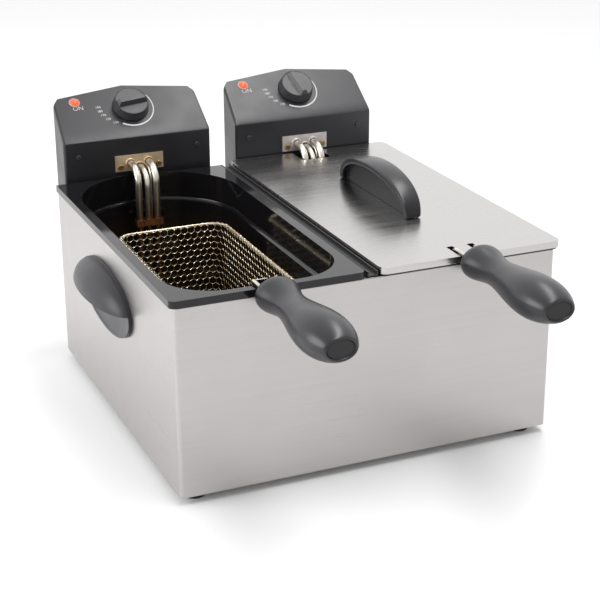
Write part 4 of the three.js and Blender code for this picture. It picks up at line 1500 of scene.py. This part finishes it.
@dataclass
class Basket:
    """One frying basket: hexagonal wire mesh, wrapped rim, bracket, wire fork and grip."""

    shop: Workshop
    unit: str
    side: int
    half: float = 56.0
    front: float = -115.05
    back: float = 129.95
    rim: float = 167.7
    depth: float = 88.0
    corner: float = 16.0
    taper: float = 5.0
    cell: float = 7.4
    strand: float = 0.52
    inset: float = 0.8
    wire_across: float = 10.7
    wire_height: float = 201.3

    @property
    def middle(self) -> float:
        """The basket's middle, across."""
        return self.side * UNIT_ACROSS

    def plan(self, inset: float, steps: int = 8) -> list[Vector]:
        """The basket's outline, in millimetres, moved inwards.

        Args:
            inset: How far it is moved.
            steps: How many steps each corner has.

        Returns:
            The outline's points.
        """
        left, right = self.middle - self.half + inset, self.middle + self.half - inset
        front, back = self.front + inset, self.back - inset
        r = self.corner - inset
        return [
            *ringed(left + r, front + r, r, 180, 270, steps),
            *ringed(right - r, front + r, r, 270, 360, steps),
            *ringed(right - r, back - r, r, 0, 90, steps),
            *ringed(left + r, back - r, r, 90, 180, steps),
        ]

    @staticmethod
    def along(line: Sequence[Vector], share: float) -> Vector:
        """The point at a share of the way round a closed line.

        Args:
            line: The line's points.
            share: The share, from 0 to 1.

        Returns:
            The point.
        """
        loop = [*line, line[0]]
        runs = [(b - a).length for a, b in zip(loop, loop[1:])]
        left = (share % 1.0) * sum(runs)
        for (a, b), run in zip(zip(loop, loop[1:]), runs):
            if left <= run and run > 0:
                return a.lerp(b, left / run)
            left -= run
        return loop[0]

    def sheet(self, name: str, columns: int, rows: int, cell: float) -> bpy.types.Object:
        """A flat sheet of hexagons, in the level plane.

        Args:
            name: The object's name.
            columns: How many hexagons wide.
            rows: How many pairs of rows high.
            cell: A hexagon's width.

        Returns:
            The object.
        """
        radius = cell / math.sqrt(3)
        Bench.clear()
        bpy.ops.mesh.primitive_circle_add(vertices=6, radius=radius, fill_type="NGON")
        first = Bench.added(name)
        bpy.ops.mesh.primitive_circle_add(
            vertices=6, radius=radius, fill_type="NGON", location=(cell / 2, 1.5 * radius, 0)
        )
        obj = Bench.together(name, [first, Bench.added("second")])
        for count, offset in ((columns, (cell, 0, 0)), (rows, (0, 3 * radius, 0))):
            Bench.modify(
                obj, "ARRAY", count=count, use_relative_offset=False, use_constant_offset=True,
                constant_offset_displace=offset, use_merge_vertices=True,
                merge_threshold=cell * 0.02,
            )
        Bench.outward(obj)
        return obj

    def trimmed(self, obj: bpy.types.Object, place: Vector, outward: Vector) -> None:
        """Cuts away what lies past a plane.

        Args:
            obj: The object.
            place: A point on the plane.
            outward: The plane's normal, towards what goes.
        """
        with Bench.editing(obj):
            bpy.ops.mesh.select_all(action="SELECT")
            bpy.ops.mesh.bisect(plane_co=place, plane_no=outward, clear_outer=True)

    def walls(self) -> bpy.types.Object:
        """The mesh of the four walls, wrapped round the outline."""
        line = self.plan(self.inset)
        around = sum((b - a).length for a, b in zip(line, [*line[1:], line[0]]))
        columns = round(around / self.cell)
        cell = around / columns * MM
        rows = math.ceil(self.depth * MM / (cell * math.sqrt(3))) + 1
        obj = self.sheet(f"{self.unit}_walls", columns, rows, cell)
        self.trimmed(obj, Vector((0, self.depth * MM, 0)), Vector((0, 1, 0)))
        self.trimmed(obj, Vector((0, 0.0002, 0)), Vector((0, -1, 0)))
        low = self.plan(self.inset + self.taper)
        for vertex in obj.data.vertices:
            share = vertex.co.x / (cell * columns)
            height = vertex.co.y / (self.depth * MM)
            spot = self.along(low, share).lerp(self.along(line, share), height) * MM
            wave = 0.00025 * math.sin(share * 211.0) * math.sin(height * 17.0)
            vertex.co = Vector((spot.x, spot.y, (self.rim - self.depth) * MM + vertex.co.y + wave))
        with Bench.editing(obj):
            bpy.ops.mesh.select_all(action="SELECT")
            bpy.ops.mesh.remove_doubles(threshold=0.0002)
        return obj

    def bottom(self) -> bpy.types.Object:
        """The mesh of the floor, trimmed to the outline."""
        inset = self.taper + self.inset
        cell = self.cell * MM
        low = mm(self.middle - self.half + inset, self.front + inset, self.rim - self.depth + 0.8)
        high = mm(self.middle + self.half - inset, self.back - inset, self.rim - self.depth + 0.8)
        columns = math.ceil((high.x - low.x) / cell) + 1
        rows = math.ceil((high.y - low.y) / (cell * math.sqrt(3))) + 1
        obj = self.sheet(f"{self.unit}_floor", columns, rows, cell)
        for vertex in obj.data.vertices:
            vertex.co += low
        for place, outward in (
            (low, (-1, 0, 0)), (low, (0, -1, 0)), (high, (1, 0, 0)), (high, (0, 1, 0)),
        ):
            self.trimmed(obj, place, Vector(outward))
        chop = (self.corner - inset) * (1 - 1 / math.sqrt(2)) * MM * math.sqrt(2) * 1.2
        for sx in (-1, 1):
            for sy in (-1, 1):
                corner = Vector((high.x if sx > 0 else low.x, high.y if sy > 0 else low.y, low.z))
                outward = Vector((sx, sy, 0)).normalized()
                self.trimmed(obj, corner - outward * chop / math.sqrt(2), outward)
        return obj

    def mesh(self) -> None:
        """The whole wire mesh as round-looking strands."""
        obj = Bench.together(f"{self.unit}_basket_wire_mesh", [self.walls(), self.bottom()])
        Bench.modify(
            obj, "WIREFRAME", thickness=self.strand * MM, use_replace=True, use_boundary=True,
            use_even_offset=False, offset=0.0,
        )
        Bench.smooth(obj, 80.0)
        self.shop.finish(obj, MESH_WIRE, f"{self.unit}_basket_mesh")

    def rim_wire(self) -> None:
        """The rim: a core wire, with the mesh's ends wound round it."""
        line = [Vector((p.x, p.y, self.rim - 1.7)) * MM for p in self.plan(-2.0, 10)]
        core = Bench.wire(f"{self.unit}_rim_core", line, 0.00125, 3, True)
        loop = [*line, line[0]]
        around = sum((b - a).length for a, b in zip(loop, loop[1:]))
        turns, parts = round(around / 0.0055), 8
        wound = []
        for i in range(turns * parts):
            share = i / (turns * parts)
            here, ahead = self.along(line, share), self.along(line, share + 0.001)
            forward = (ahead - here).normalized()
            across = forward.cross(Vector((0, 0, 1))).normalized()
            angle = 2 * math.pi * i / parts
            spoke = across * math.cos(angle) + Vector((0, 0, math.sin(angle)))
            wound.append(here + spoke * 0.00145)
        wrap = Bench.wire(f"{self.unit}_rim_wrap", wound, 0.00045, 1, True)
        obj = Bench.together(f"{self.unit}_basket_wound_rim", [core, wrap])
        self.shop.finish(obj, MESH_WIRE, f"{self.unit}_basket_rim")

    def fork(self) -> None:
        """The wire fork that joins the bracket to the grip."""
        pin_y, pin_z, over, into = -125.95, 177.7, self.wire_height, -184.05

        def leg(hand: int) -> list[Vector]:
            """One leg's corners, from its pin to the grip.

            Args:
                hand: -1 for the left leg, 1 for the right.

            Returns:
                The corners.
            """
            x = self.middle + hand * self.wire_across
            return [
                mm(x + hand * 7, pin_y, pin_z), mm(x, pin_y, pin_z),
                mm(x, pin_y, over), mm(x, into, over),
            ]

        line = bent([*leg(-1), *reversed(leg(1))], 0.008)
        self.shop.finish(
            Bench.wire(f"{self.unit}_fork_wire", line, 0.0019, 5), BRIGHT,
            f"{self.unit}_handle_wire",
        )

    def grip(self) -> None:
        """The bulbous grip with a hollow oval end."""
        start_y, height = -154.05, 196.9
        sections = [
            (0.0, 15.2, 11.4), (0.7, 17.4, 13.4), (2.4, 19.4, 15.4), (5.0, 20.4, 16.4),
            (8.5, 20.7, 16.6), (13, 19.9, 16.1), (18, 18.5, 15.2), (26, 16.4, 13.8),
            (34, 15.2, 12.9), (42, 15.2, 12.8), (50, 16.0, 13.3), (60, 17.8, 14.5),
            (70, 19.8, 15.8), (80, 21.9, 17.2), (90, 23.4, 18.4), (99, 24.2, 19.0),
            (107, 24.3, 19.0), (115, 23.6, 18.3), (122, 22.2, 17.0), (128, 20.4, 15.5),
            (133, 18.4, 13.8), (136.6, 16.6, 12.2), (138.8, 15.3, 10.9), (139.7, 14.4, 10.0),
        ]
        centre = mm(self.middle, start_y, height)
        Bench.clear()
        bpy.ops.mesh.primitive_circle_add(
            vertices=40, radius=1.0, fill_type="NGON", location=centre,
            rotation=(math.pi / 2, 0.0, 0.0),
        )
        obj = Bench.added(f"{self.unit}_moulded_grip")
        with Bench.editing(obj):
            bpy.ops.mesh.select_mode(type="FACE")
            bpy.ops.mesh.select_all(action="SELECT")
            wide, tall, gone = 1000.0, 1000.0, 0.0
            for along, half_width, half_height in sections:
                if along:
                    bpy.ops.mesh.extrude_region_move(
                        TRANSFORM_OT_translate={"value": (0, -(along - gone) * MM, 0)}
                    )
                bpy.ops.transform.resize(
                    value=(half_width / wide, 1.0, half_height / tall), center_override=centre
                )
                wide, tall, gone = half_width, half_height, along
            for inset, push in ((0.8, 0.0), (0.9, 0.9), (0.9, 2.2), (2.5, 0.6)):
                bpy.ops.mesh.inset(thickness=inset * MM)
                bpy.ops.transform.translate(value=(0, push * MM, 0))
        Bench.outward(obj)
        Bench.modify(obj, "SUBSURF", levels=1, render_levels=1)
        for hand in (-1, 1):
            start = mm(self.middle + hand * self.wire_across, start_y + 4, self.wire_height)
            Bench.cut(obj, Bench.round_bar("bore", start, Vector((0, -1, 0)), 0.0023, 0.034, 24))
        Bench.smooth(obj, 40.0)
        self.shop.finish(obj, GRIP, f"{self.unit}_grip")
        self.recess_shade(centre)

    def recess_shade(self, centre: Vector) -> None:
        """A near-black oval disc in the grip's hollow end, as painted shade that darkens the
        recess.

        Args:
            centre: The middle of the grip's first section.
        """
        # Painted shade: a thin near-black disc set into the end recess so that it reads dark.
        place = centre - mm(0, 137.6, 0)
        Bench.clear()
        bpy.ops.mesh.primitive_cylinder_add(
            vertices=48, radius=1.0, depth=0.0016, location=place, rotation=(math.pi / 2, 0, 0)
        )
        bpy.ops.transform.resize(value=(0.0122, 1.0, 0.0081), center_override=place)
        recess_shade = Bench.added(f"{self.unit}_grip_recess_shade")
        Bench.round_edges(recess_shade, 0.0003, 2)
        Bench.smooth(recess_shade)
        self.shop.finish(recess_shade, RECESS_SHADE, body=f"{self.unit}_handle")

    def build(self) -> None:
        """Makes every piece of the basket."""
        self.mesh()
        self.rim_wire()
        self.shop.refine(BRIGHT, f"{self.unit}_basket_bracket", 0.0003)
        self.fork()
        self.grip()


@dataclass
class Head:
    """One control head: covers, heater, plate, screws, dial, pilot light and print."""

    shop: Workshop
    unit: str
    side: int
    ridge_turn: float
    plating: Finish
    face: float = 237.55
    edge: float = 239.0
    slope: float = math.radians(38)
    knob_along: float = 39.5
    knob_across: float = 2.5
    knob_radius: float = 0.020
    knob_disc: float = 0.010
    ridge_top: float = 0.0142
    lamp_along: float = 52.5
    lamp_across: float = -57.0
    ink: float = 0.05
    inside: float = 246.05
    leg: float = 210.55
    loop: float = 68.4
    tube_exit: float = 210.0
    tube_across: float = 10.0
    tube_radius: float = 0.0037
    tube_bend: float = 0.020
    sensor_exit: float = 205.5
    sensor_radius: float = 0.0033

    @property
    def middle(self) -> float:
        """The head's middle, across."""
        return self.side * HEAD_ACROSS

    @property
    def body(self) -> str:
        """The body that the head's own pieces ride on."""
        return f"{self.unit}_control_head"

    @property
    def normal(self) -> Vector:
        """The sloping panel's normal."""
        return Vector((0, -math.sin(self.slope), math.cos(self.slope)))

    def on_panel(self, across: float, along: float, lift: float = 0.0) -> Vector:
        """A point over the sloping panel.

        Args:
            across: To the right of the head's middle, in millimetres.
            along: Up the slope from the front edge, in millimetres.
            lift: Off the surface, in millimetres.

        Returns:
            The point, in metres.
        """
        return mm(
            self.middle + across,
            self.face + along * math.cos(self.slope),
            self.edge + along * math.sin(self.slope),
        ) + self.normal * lift * MM

    def covers(self) -> None:
        """The two moulded shells, with a broad round edge over the front."""
        obj = Bench.twin(f"{self.unit}_head_cover", f"{self.unit}_head_shell")
        front, edge, middle = self.face * MM, self.edge * MM, self.middle * MM
        weights = obj.data.attributes.new("bevel_weight_edge", "FLOAT", "EDGE")
        for item in obj.data.edges:
            a, b = (obj.data.vertices[i].co for i in item.vertices)
            outer_a, outer_b = (abs(abs(p.x - middle) - 0.0825) < 0.0022 for p in (a, b))
            weight = 0.0
            if all(abs(p.y - front) < 5e-5 and abs(p.z - edge) < 5e-5 for p in (a, b)):
                weight = 1.0
            elif outer_a and outer_b and min(a.y, b.y) < front + 5e-5 and abs(a.y - b.y) < 5e-5:
                weight = 0.18
            elif outer_a and outer_b and min(a.z, b.z) > edge - 5e-5:
                weight = 0.18
            elif abs(a.z - b.z) < 5e-5 and a.z < 0.0811 and b.z < 0.0811:
                weight = 0.085
            weights.data[item.index].value = weight
        Bench.modify(
            obj, "BEVEL", width=0.0135, segments=10, limit_method="WEIGHT",
            miter_outer="MITER_ARC", loop_slide=True,
        )
        Bench.smooth(obj, 30.0)
        self.shop.finish(obj, HEAD, f"{self.unit}_head_cover")
        self.shop.refine(BACK, f"{self.unit}_head_back_cover", 0.0008, 3)

    def heater(self) -> None:
        """The heater's bent tube, the sensor beside it and the clip that ties them."""
        middle, pan, leg = self.middle, self.side * UNIT_ACROSS, self.leg
        exit_z, loop = self.tube_exit, self.loop

        def half(hand: int) -> list[Vector]:
            """One half of the heater's line.

            Args:
                hand: -1 for the left half, 1 for the right.

            Returns:
                The corners.
            """
            x = middle + hand * self.tube_across
            return [
                mm(x, self.inside, exit_z), mm(x, leg, exit_z), mm(x, leg, loop),
                mm(x, leg - 30, loop), mm(pan + hand * 52, 117.95, loop),
                mm(pan + hand * 52, -72.05, loop), mm(pan + hand * 20, -72.05, loop),
                mm(pan + hand * 20, 97.95, loop),
            ]

        loop_line = bent([*half(-1)[1:], *reversed(half(1)[1:])], 0.014, 8)
        over = [bent(half(hand)[:3], self.tube_bend, 12) for hand in (-1, 1)]
        tube = [*over[0][:-1], *loop_line[1:-1], *list(reversed(over[1]))[1:]]
        self.shop.finish(
            Bench.wire(f"{self.unit}_heater_tube", tube, self.tube_radius, 5), TUBE,
            f"{self.unit}_heating_element",
        )
        sensor = bent(
            [
                mm(middle, self.inside, self.sensor_exit), mm(middle, leg, self.sensor_exit),
                mm(middle, leg, 92),
            ],
            self.tube_bend, 12,
        )
        stem = Bench.wire(f"{self.unit}_sensor_stem", sensor, self.sensor_radius, 5)
        thin = bent(
            [mm(middle + 5.0, 239, 208.5), mm(middle + 5.0, leg + 2.5, 208.5),
             mm(middle + 5.0, leg + 2.5, 154)], 0.019, 10,
        )
        hair = Bench.wire(f"{self.unit}_sensor_hair", thin, 0.0008, 2)
        self.shop.finish(
            Bench.together(f"{self.unit}_sensor_probe", [stem, hair]), TUBE,
            f"{self.unit}_sensor_tube",
        )
        self.shop.refine(COPPER, f"{self.unit}_element_clamp", 0.0008, 3)

    def plate(self) -> None:
        """The plated flange with a collar round each tube, and every screw."""
        plate = Bench.refined(f"{self.unit}_element_plate", f"{self.unit}_tube_plate", 0.0004)
        front = self.face - 1.8
        parts = [plate]
        for across, height in (
            (-self.tube_across, self.tube_exit), (0.0, self.sensor_exit),
            (self.tube_across, self.tube_exit),
        ):
            parts.append(Bench.ring(
                "collar", mm(self.middle + across, front - 0.4, height), Vector((0, -1, 0)),
                0.0049, 0.0009,
            ))
        for part in parts[1:]:
            Bench.smooth(part)
        self.shop.finish(
            Bench.together(f"{self.unit}_tube_flange", parts), self.plating,
            f"{self.unit}_element_plate",
        )
        for hand in ("left", "right"):
            self.screw(f"{self.unit}_plate_screw_{hand}", BRASS, 3.2)
            self.screw(f"{self.unit}_cover_screw_{hand}", KNOB, 2.6)

    def screw(self, node: str, look: Finish, radius: float) -> None:
        """A pan-head screw with a cross recess.

        Args:
            node: The CAD screw that it replaces.
            look: Its finish.
            radius: Its head's radius, in millimetres.
        """
        low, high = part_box(node)
        middle = (low + high) / 2
        start = Vector((middle.x, high.y, middle.z))
        obj = Bench.round_bar(
            f"{node}_head", start, Vector((0, -1, 0)), radius * MM, high.y - low.y, 32
        )
        with Bench.editing(obj):
            Bench.pick(obj, "FACE", lambda f: f.normal.y < -0.9)
            bpy.ops.mesh.bevel(offset=0.0007, segments=3, affect="EDGES")
        for turn in (0.6, 0.6 + math.pi / 2):
            Bench.clear()
            bpy.ops.mesh.primitive_cube_add(
                size=1.0, location=(middle.x, low.y, middle.z), rotation=(0, turn, 0),
                scale=(radius * 1.3 * MM, 0.0018, 0.0008),
            )
            Bench.cut(obj, Bench.added("recess"))
        Bench.smooth(obj, 30.0)
        self.shop.finish(obj, look, node)

    def knob(self) -> None:
        """The dial: a skirted disc with a wedge-shaped finger ridge."""
        base = self.on_panel(self.knob_across, self.knob_along, 0.8)
        turn = Quaternion((1, 0, 0), self.slope) @ Quaternion((0, 0, 1), self.ridge_turn)
        Bench.clear()
        bpy.ops.mesh.primitive_cylinder_add(
            vertices=72, radius=self.knob_radius, depth=self.knob_disc,
            location=(0, 0, self.knob_disc / 2),
        )
        disc = Bench.added(f"{self.unit}_dial_disc")
        with Bench.editing(disc):
            Bench.pick(disc, "FACE", lambda f: f.normal.z > 0.9)
            bpy.ops.transform.resize(value=(0.9, 0.9, 1.0), center_override=(0, 0, 0))
            bpy.ops.mesh.inset(thickness=0.0016)
            bpy.ops.transform.translate(value=(0, 0, -0.0009))
        Bench.clear()
        bpy.ops.mesh.primitive_cube_add(
            size=1.0, location=(0, 0, 0.0094), scale=(0.0380, 0.0150, 0.0096)
        )
        ridge = Bench.added("ridge")
        with Bench.editing(ridge):
            Bench.pick(ridge, "FACE", lambda f: f.normal.z > 0.9)
            bpy.ops.transform.resize(
                value=(0.75, 0.30, 1.0), center_override=(0, 0, self.ridge_top)
            )
        Bench.clear()
        bpy.ops.mesh.primitive_cylinder_add(vertices=72, radius=0.0190, depth=0.05)
        Bench.cut(ridge, Bench.added("trim"), "INTERSECT")
        Bench.cut(disc, ridge, "UNION")
        Bench.round_edges(disc, 0.0006, 3, 30.0)
        Bench.clear()
        bpy.ops.mesh.primitive_cylinder_add(vertices=32, radius=0.0033, depth=0.02)
        Bench.cut(disc, Bench.added("socket"))
        disc.rotation_mode = "QUATERNION"
        disc.rotation_quaternion = turn
        disc.location = base
        Bench.hold(disc)
        bpy.ops.object.transform_apply(location=True, rotation=True, scale=True)
        Bench.smooth(disc, 30.0)
        self.shop.finish(disc, KNOB, f"{self.unit}_knob")

    def settle(self, obj: bpy.types.Object, across: float, along: float, lift: float) -> None:
        """Lays a piece that was made flat at the origin on the sloping panel.

        Args:
            obj: The piece.
            across: To the right of the head's middle, in millimetres.
            along: Up the slope from the front edge, in millimetres.
            lift: Off the surface, in millimetres.
        """
        obj.rotation_mode = "QUATERNION"
        obj.rotation_quaternion = Quaternion((1, 0, 0), self.slope)
        obj.location = self.on_panel(across, along, lift)
        Bench.hold(obj)
        bpy.ops.object.transform_apply(location=True, rotation=True, scale=True)

    def pilot_light(self) -> None:
        """The domed lens in its bezel."""
        Bench.clear()
        bpy.ops.mesh.primitive_uv_sphere_add(segments=40, ring_count=20, radius=0.0047)
        lens = Bench.added(f"{self.unit}_pilot_lens")
        with Bench.editing(lens):
            bpy.ops.mesh.select_all(action="SELECT")
            bpy.ops.mesh.bisect(
                plane_co=(0, 0, 0), plane_no=(0, 0, -1), clear_outer=True, use_fill=True
            )
            bpy.ops.mesh.select_all(action="SELECT")
            bpy.ops.transform.resize(value=(1, 1, 0.5), center_override=(0, 0, 0))
        self.settle(lens, self.lamp_across, self.lamp_along, 0.1)
        Bench.smooth(lens, 40.0)
        self.shop.finish(lens, LENS, f"{self.unit}_indicator_lens")
        Bench.clear()
        bpy.ops.mesh.primitive_torus_add(
            major_radius=0.0053, minor_radius=0.0009, major_segments=48, minor_segments=12
        )
        bezel = Bench.added(f"{self.unit}_pilot_bezel")
        with Bench.editing(bezel):
            bpy.ops.mesh.select_all(action="SELECT")
            bpy.ops.transform.resize(value=(1, 1, 0.7), center_override=(0, 0, 0))
        self.settle(bezel, self.lamp_across, self.lamp_along, 0.2)
        Bench.smooth(bezel, 60.0)
        self.shop.finish(bezel, BEZEL, body=self.body)

    def letters(
        self, words: str, size: float, across: float, along: float
    ) -> bpy.types.Object:
        """Small printed characters on the panel.

        Args:
            words: The characters.
            size: Their height, in millimetres.
            across: Their middle, across the panel.
            along: Their middle, up the slope.

        Returns:
            The object.
        """
        Bench.clear()
        bpy.ops.object.text_add()
        text = bpy.context.view_layer.objects.active
        text.data.body = words
        text.data.size = size * 1.4 * MM
        text.data.align_x = "CENTER"
        text.data.align_y = "CENTER"
        text.data.resolution_u = 3
        text.data.extrude = 0.00004
        Bench.hold(text)
        bpy.ops.object.convert(target="MESH")
        obj = Bench.added(f"{self.unit}_print_{words}")
        Bench.outward(obj)
        self.settle(obj, across, along, self.ink)
        return obj

    def dial_print(self) -> None:
        """The tapering arc, the numbers and the pilot light's word."""
        steps, start, end = 56, 52.0, -124.0
        Bench.clear()
        bpy.ops.mesh.primitive_grid_add(x_subdivisions=steps, y_subdivisions=1, size=1.0)
        arc = Bench.added(f"{self.unit}_dial_arc")
        for vertex in arc.data.vertices:
            share = vertex.co.x + 0.5
            angle = math.radians(start + (end - start) * share)
            radius = 25.3 - vertex.co.y * (0.8 + 1.2 * share)
            vertex.co = Vector((math.cos(angle), math.sin(angle), 0.0)) * radius * MM
        Bench.outward(arc)
        with Bench.editing(arc):
            bpy.ops.mesh.select_all(action="SELECT")
            bpy.ops.mesh.normals_make_consistent(inside=False)
        Bench.modify(arc, "SOLIDIFY", thickness=0.00008, offset=0.0)
        self.settle(arc, self.knob_across, self.knob_along, self.ink)
        marks = [arc]
        for words, across, along in (
            ("130", -19.1, 20.6), ("150", -26.0, 26.1), ("170", -29.9, 31.9),
            ("180", -32.3, 37.5), ("190", -33.2, 43.1),
        ):
            marks.append(self.letters(words, 2.9, across, along))
        self.shop.finish(Bench.together(f"{self.unit}_dial_print", marks), PRINT, body=self.body)
        word = self.letters("ON", 5.4, -54.8, 44.3)
        self.shop.finish(word, ORANGE, body=self.body)

    def build(self) -> None:
        """Makes every piece of the head."""
        self.covers()
        self.heater()
        self.plate()
        self.knob()
        self.pilot_light()
        self.dial_print()
        self.shop.paint(BRASS, f"{self.unit}_thermostat_shaft")
        self.shop.paint(STEEL_FLAT, f"{self.unit}_thermostat")
        self.shop.paint(BACK, f"{self.unit}_thermal_cutout")
        self.shop.refine(BUTTON, f"{self.unit}_reset_button", 0.0006, 3)
        self.shop.refine(RUBBER, f"{self.unit}_cable_gland", 0.0008, 3)


@dataclass
class Lid:
    """The loose steel lid of the right pot, and its handle."""

    shop: Workshop
    middle: float = 97.75
    handle_y: float = 45.95
    length: float = 158.0
    height: float = 37.0
    half_width: float = 14.0
    thickness: float = 6.6
    crown: float = 1.6
    gap: float = 0.3
    top: float = 200.0

    def rise(self, angle: float) -> float:
        """How high the arch's middle stands at an angle round it, in millimetres."""
        return (self.height - self.thickness / 2 - self.crown) * math.sin(angle) ** 0.9

    def sheet(self) -> None:
        """The lid's folded sheet."""
        obj = Bench.twin("lid", "lid_sheet")
        Bench.round_edges(obj, 0.0009, 3, 50.0)
        Bench.smooth(obj, 35.0)
        self.shop.finish(obj, LID_STEEL, "lid")

    def handle(self) -> None:
        """The leaf-shaped arch and the wall under it."""
        Bench.clear()
        bpy.ops.mesh.primitive_grid_add(x_subdivisions=6, y_subdivisions=44, size=2.0)
        obj = Bench.added("lid_arch")
        half = self.thickness / 2
        for vertex in obj.data.vertices:
            across, along = vertex.co.x, vertex.co.y
            angle = math.pi * (along + 1) / 2
            leaf = self.half_width * (0.66 + 0.34 * math.sin(angle)) - half * 0.4
            crown = self.crown * (1 - across * across)
            vertex.co = mm(
                self.middle + across * leaf,
                self.handle_y - (self.length / 2 - half) * math.cos(angle),
                self.top + self.gap + self.rise(angle) + crown * math.sin(angle),
            )
        Bench.modify(obj, "SOLIDIFY", thickness=self.thickness * MM, offset=0.0)
        Bench.outward(obj)
        Bench.round_edges(obj, 0.0022, 3, 60.0)
        Bench.modify(obj, "SUBSURF", levels=1, render_levels=1)
        Bench.cut(obj, self.web(), "UNION")
        with Bench.editing(obj):
            bpy.ops.mesh.select_all(action="SELECT")
            bpy.ops.mesh.bisect(
                plane_co=mm(0, 0, self.top + self.gap), plane_no=(0, 0, -1), clear_outer=True
            )
            Bench.pick(obj, "EDGE", lambda e: e.is_boundary)
            bpy.ops.mesh.fill_holes(sides=0)
        Bench.smooth(obj, 40.0)
        self.shop.finish(obj, BLADE, "lid_handle")

    def web(self) -> bpy.types.Object:
        """The wall that closes the arch, thinner than the arch itself."""
        Bench.clear()
        bpy.ops.mesh.primitive_grid_add(x_subdivisions=40, y_subdivisions=1, size=2.0)
        wall = Bench.added("web")
        half = self.thickness / 2
        for vertex in wall.data.vertices:
            angle = math.pi * (vertex.co.x + 1) / 2
            vertex.co = mm(
                self.middle,
                self.handle_y - (self.length / 2 - half - 1.2) * math.cos(angle),
                self.top + (self.rise(angle) if vertex.co.y > 0 else -1.5),
            )
        Bench.modify(wall, "SOLIDIFY", thickness=0.0056, offset=0.0)
        Bench.outward(wall)
        return wall

    def build(self) -> None:
        """Makes every piece of the lid."""
        self.sheet()
        self.handle()
        self.shop.refine(BRIGHT, "lid_screw_front", 0.0003)
        self.shop.refine(BRIGHT, "lid_screw_rear", 0.0003)


# ------------------------------------------------------------------ studio


@dataclass(frozen=True)
class Lamp:
    """A soft area lamp."""

    name: str
    place: Point
    aim: Point
    size: tuple[float, float]
    power: float


@dataclass
class Studio:
    """The camera, a pale floor and soft lamps."""

    azimuth: float = -23.22
    elevation: float = 21.38
    roll: float = -0.30
    distance: float = 1572.7
    target: Point = (5.9, 38.2, 103.7)
    lens: float = 92.28
    lamps: tuple[Lamp, ...] = (
        Lamp("strip", (0.35, -0.02, 1.5), (0.1, 0.1, 0.1), (1.7, 0.26), 11.0),
        Lamp("left box", (-2.0, 0.3, 1.0), (0.0, 0.0, 0.1), (1.3, 1.3), 21.0),
    )

    def build(self) -> None:
        """Sets up the camera, the floor and the light."""
        self.camera()
        self.floor()
        for lamp in self.lamps:
            self.lamp(lamp)
        self.sky()
        bpy.context.scene.view_settings.view_transform = "Standard"

    @staticmethod
    def sky() -> None:
        """Makes the white room: brighter behind, dimmer in front."""
        world = bpy.data.worlds.new("studio")
        world.use_nodes = True
        tree = world.node_tree
        where = tree.nodes.new("ShaderNodeTexCoord")
        split = tree.nodes.new("ShaderNodeSeparateXYZ")
        tree.links.new(where.outputs["Generated"], split.inputs[0])
        level = tree.nodes.new("ShaderNodeMapRange")
        tree.links.new(split.outputs["Y"], level.inputs["Value"])
        level.inputs["From Min"].default_value = -0.9
        level.inputs["From Max"].default_value = 0.9
        level.inputs["To Min"].default_value = 0.60
        level.inputs["To Max"].default_value = 1.24
        tree.links.new(level.outputs["Result"], tree.nodes["Background"].inputs["Strength"])
        tree.nodes["Background"].inputs["Color"].default_value = (1.0, 1.0, 1.0, 1.0)
        bpy.context.scene.world = world

    def camera(self) -> None:
        """Places the camera."""
        azimuth, elevation = math.radians(self.azimuth), math.radians(self.elevation)
        back = Vector((
            math.sin(azimuth) * math.cos(elevation),
            -math.cos(azimuth) * math.cos(elevation),
            math.sin(elevation),
        ))
        data = bpy.data.cameras.new("camera")
        data.lens = self.lens
        data.sensor_width = 36.0
        data.clip_start = 0.05
        data.clip_end = 50.0
        camera = bpy.data.objects.new("camera", data)
        camera.location = mm(*self.target) + back * self.distance * MM
        camera.rotation_mode = "QUATERNION"
        camera.rotation_quaternion = (-back).to_track_quat("-Z", "Y") @ Quaternion(
            (0, 0, 1), math.radians(self.roll)
        )
        bpy.context.scene.collection.objects.link(camera)
        bpy.context.scene.camera = camera

    @staticmethod
    def floor() -> None:
        """Lays the floor."""
        Bench.clear()
        bpy.ops.mesh.primitive_plane_add(size=24.0, location=(0, 0, 0))
        floor = Bench.added("floor")
        material = bpy.data.materials.new("pale floor")
        material.use_nodes = True
        shader = material.node_tree.nodes["Principled BSDF"]
        shader.inputs["Base Color"].default_value = (0.93, 0.93, 0.93, 1.0)
        shader.inputs["Roughness"].default_value = 0.6
        shader.inputs["Specular IOR Level"].default_value = 0.2
        floor.data.materials.append(material)

    @staticmethod
    def lamp(lamp: Lamp) -> None:
        """Hangs a lamp.

        Args:
            lamp: Its place, size and power.
        """
        data = bpy.data.lights.new(lamp.name, "AREA")
        data.shape = "RECTANGLE"
        data.size, data.size_y = lamp.size
        data.energy = lamp.power
        obj = bpy.data.objects.new(lamp.name, data)
        obj.location = lamp.place
        aim = Vector(lamp.aim) - Vector(lamp.place)
        obj.rotation_euler = aim.to_track_quat("-Z", "Y").to_euler()
        bpy.context.scene.collection.objects.link(obj)


def main() -> None:
    """Builds the whole object and its studio."""
    logging.basicConfig(level=logging.INFO, format="%(message)s")
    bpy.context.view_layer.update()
    Studio().build()
    shop = Workshop(Effects())
    Housing(shop).build()
    for unit, side, turn, plating in (("left", -1, 7.0, ZINC), ("right", 1, 102.0, PALE_ZINC)):
        Pot(shop, unit, side).build()
        Basket(shop, unit, side).build()
        Head(shop, unit, side, math.radians(turn), plating).build()
    Lid(shop).build()
    Bench.clear()
    LOG.info("%d new pieces", len(shop.made))


if __name__ == "__main__":
    main()
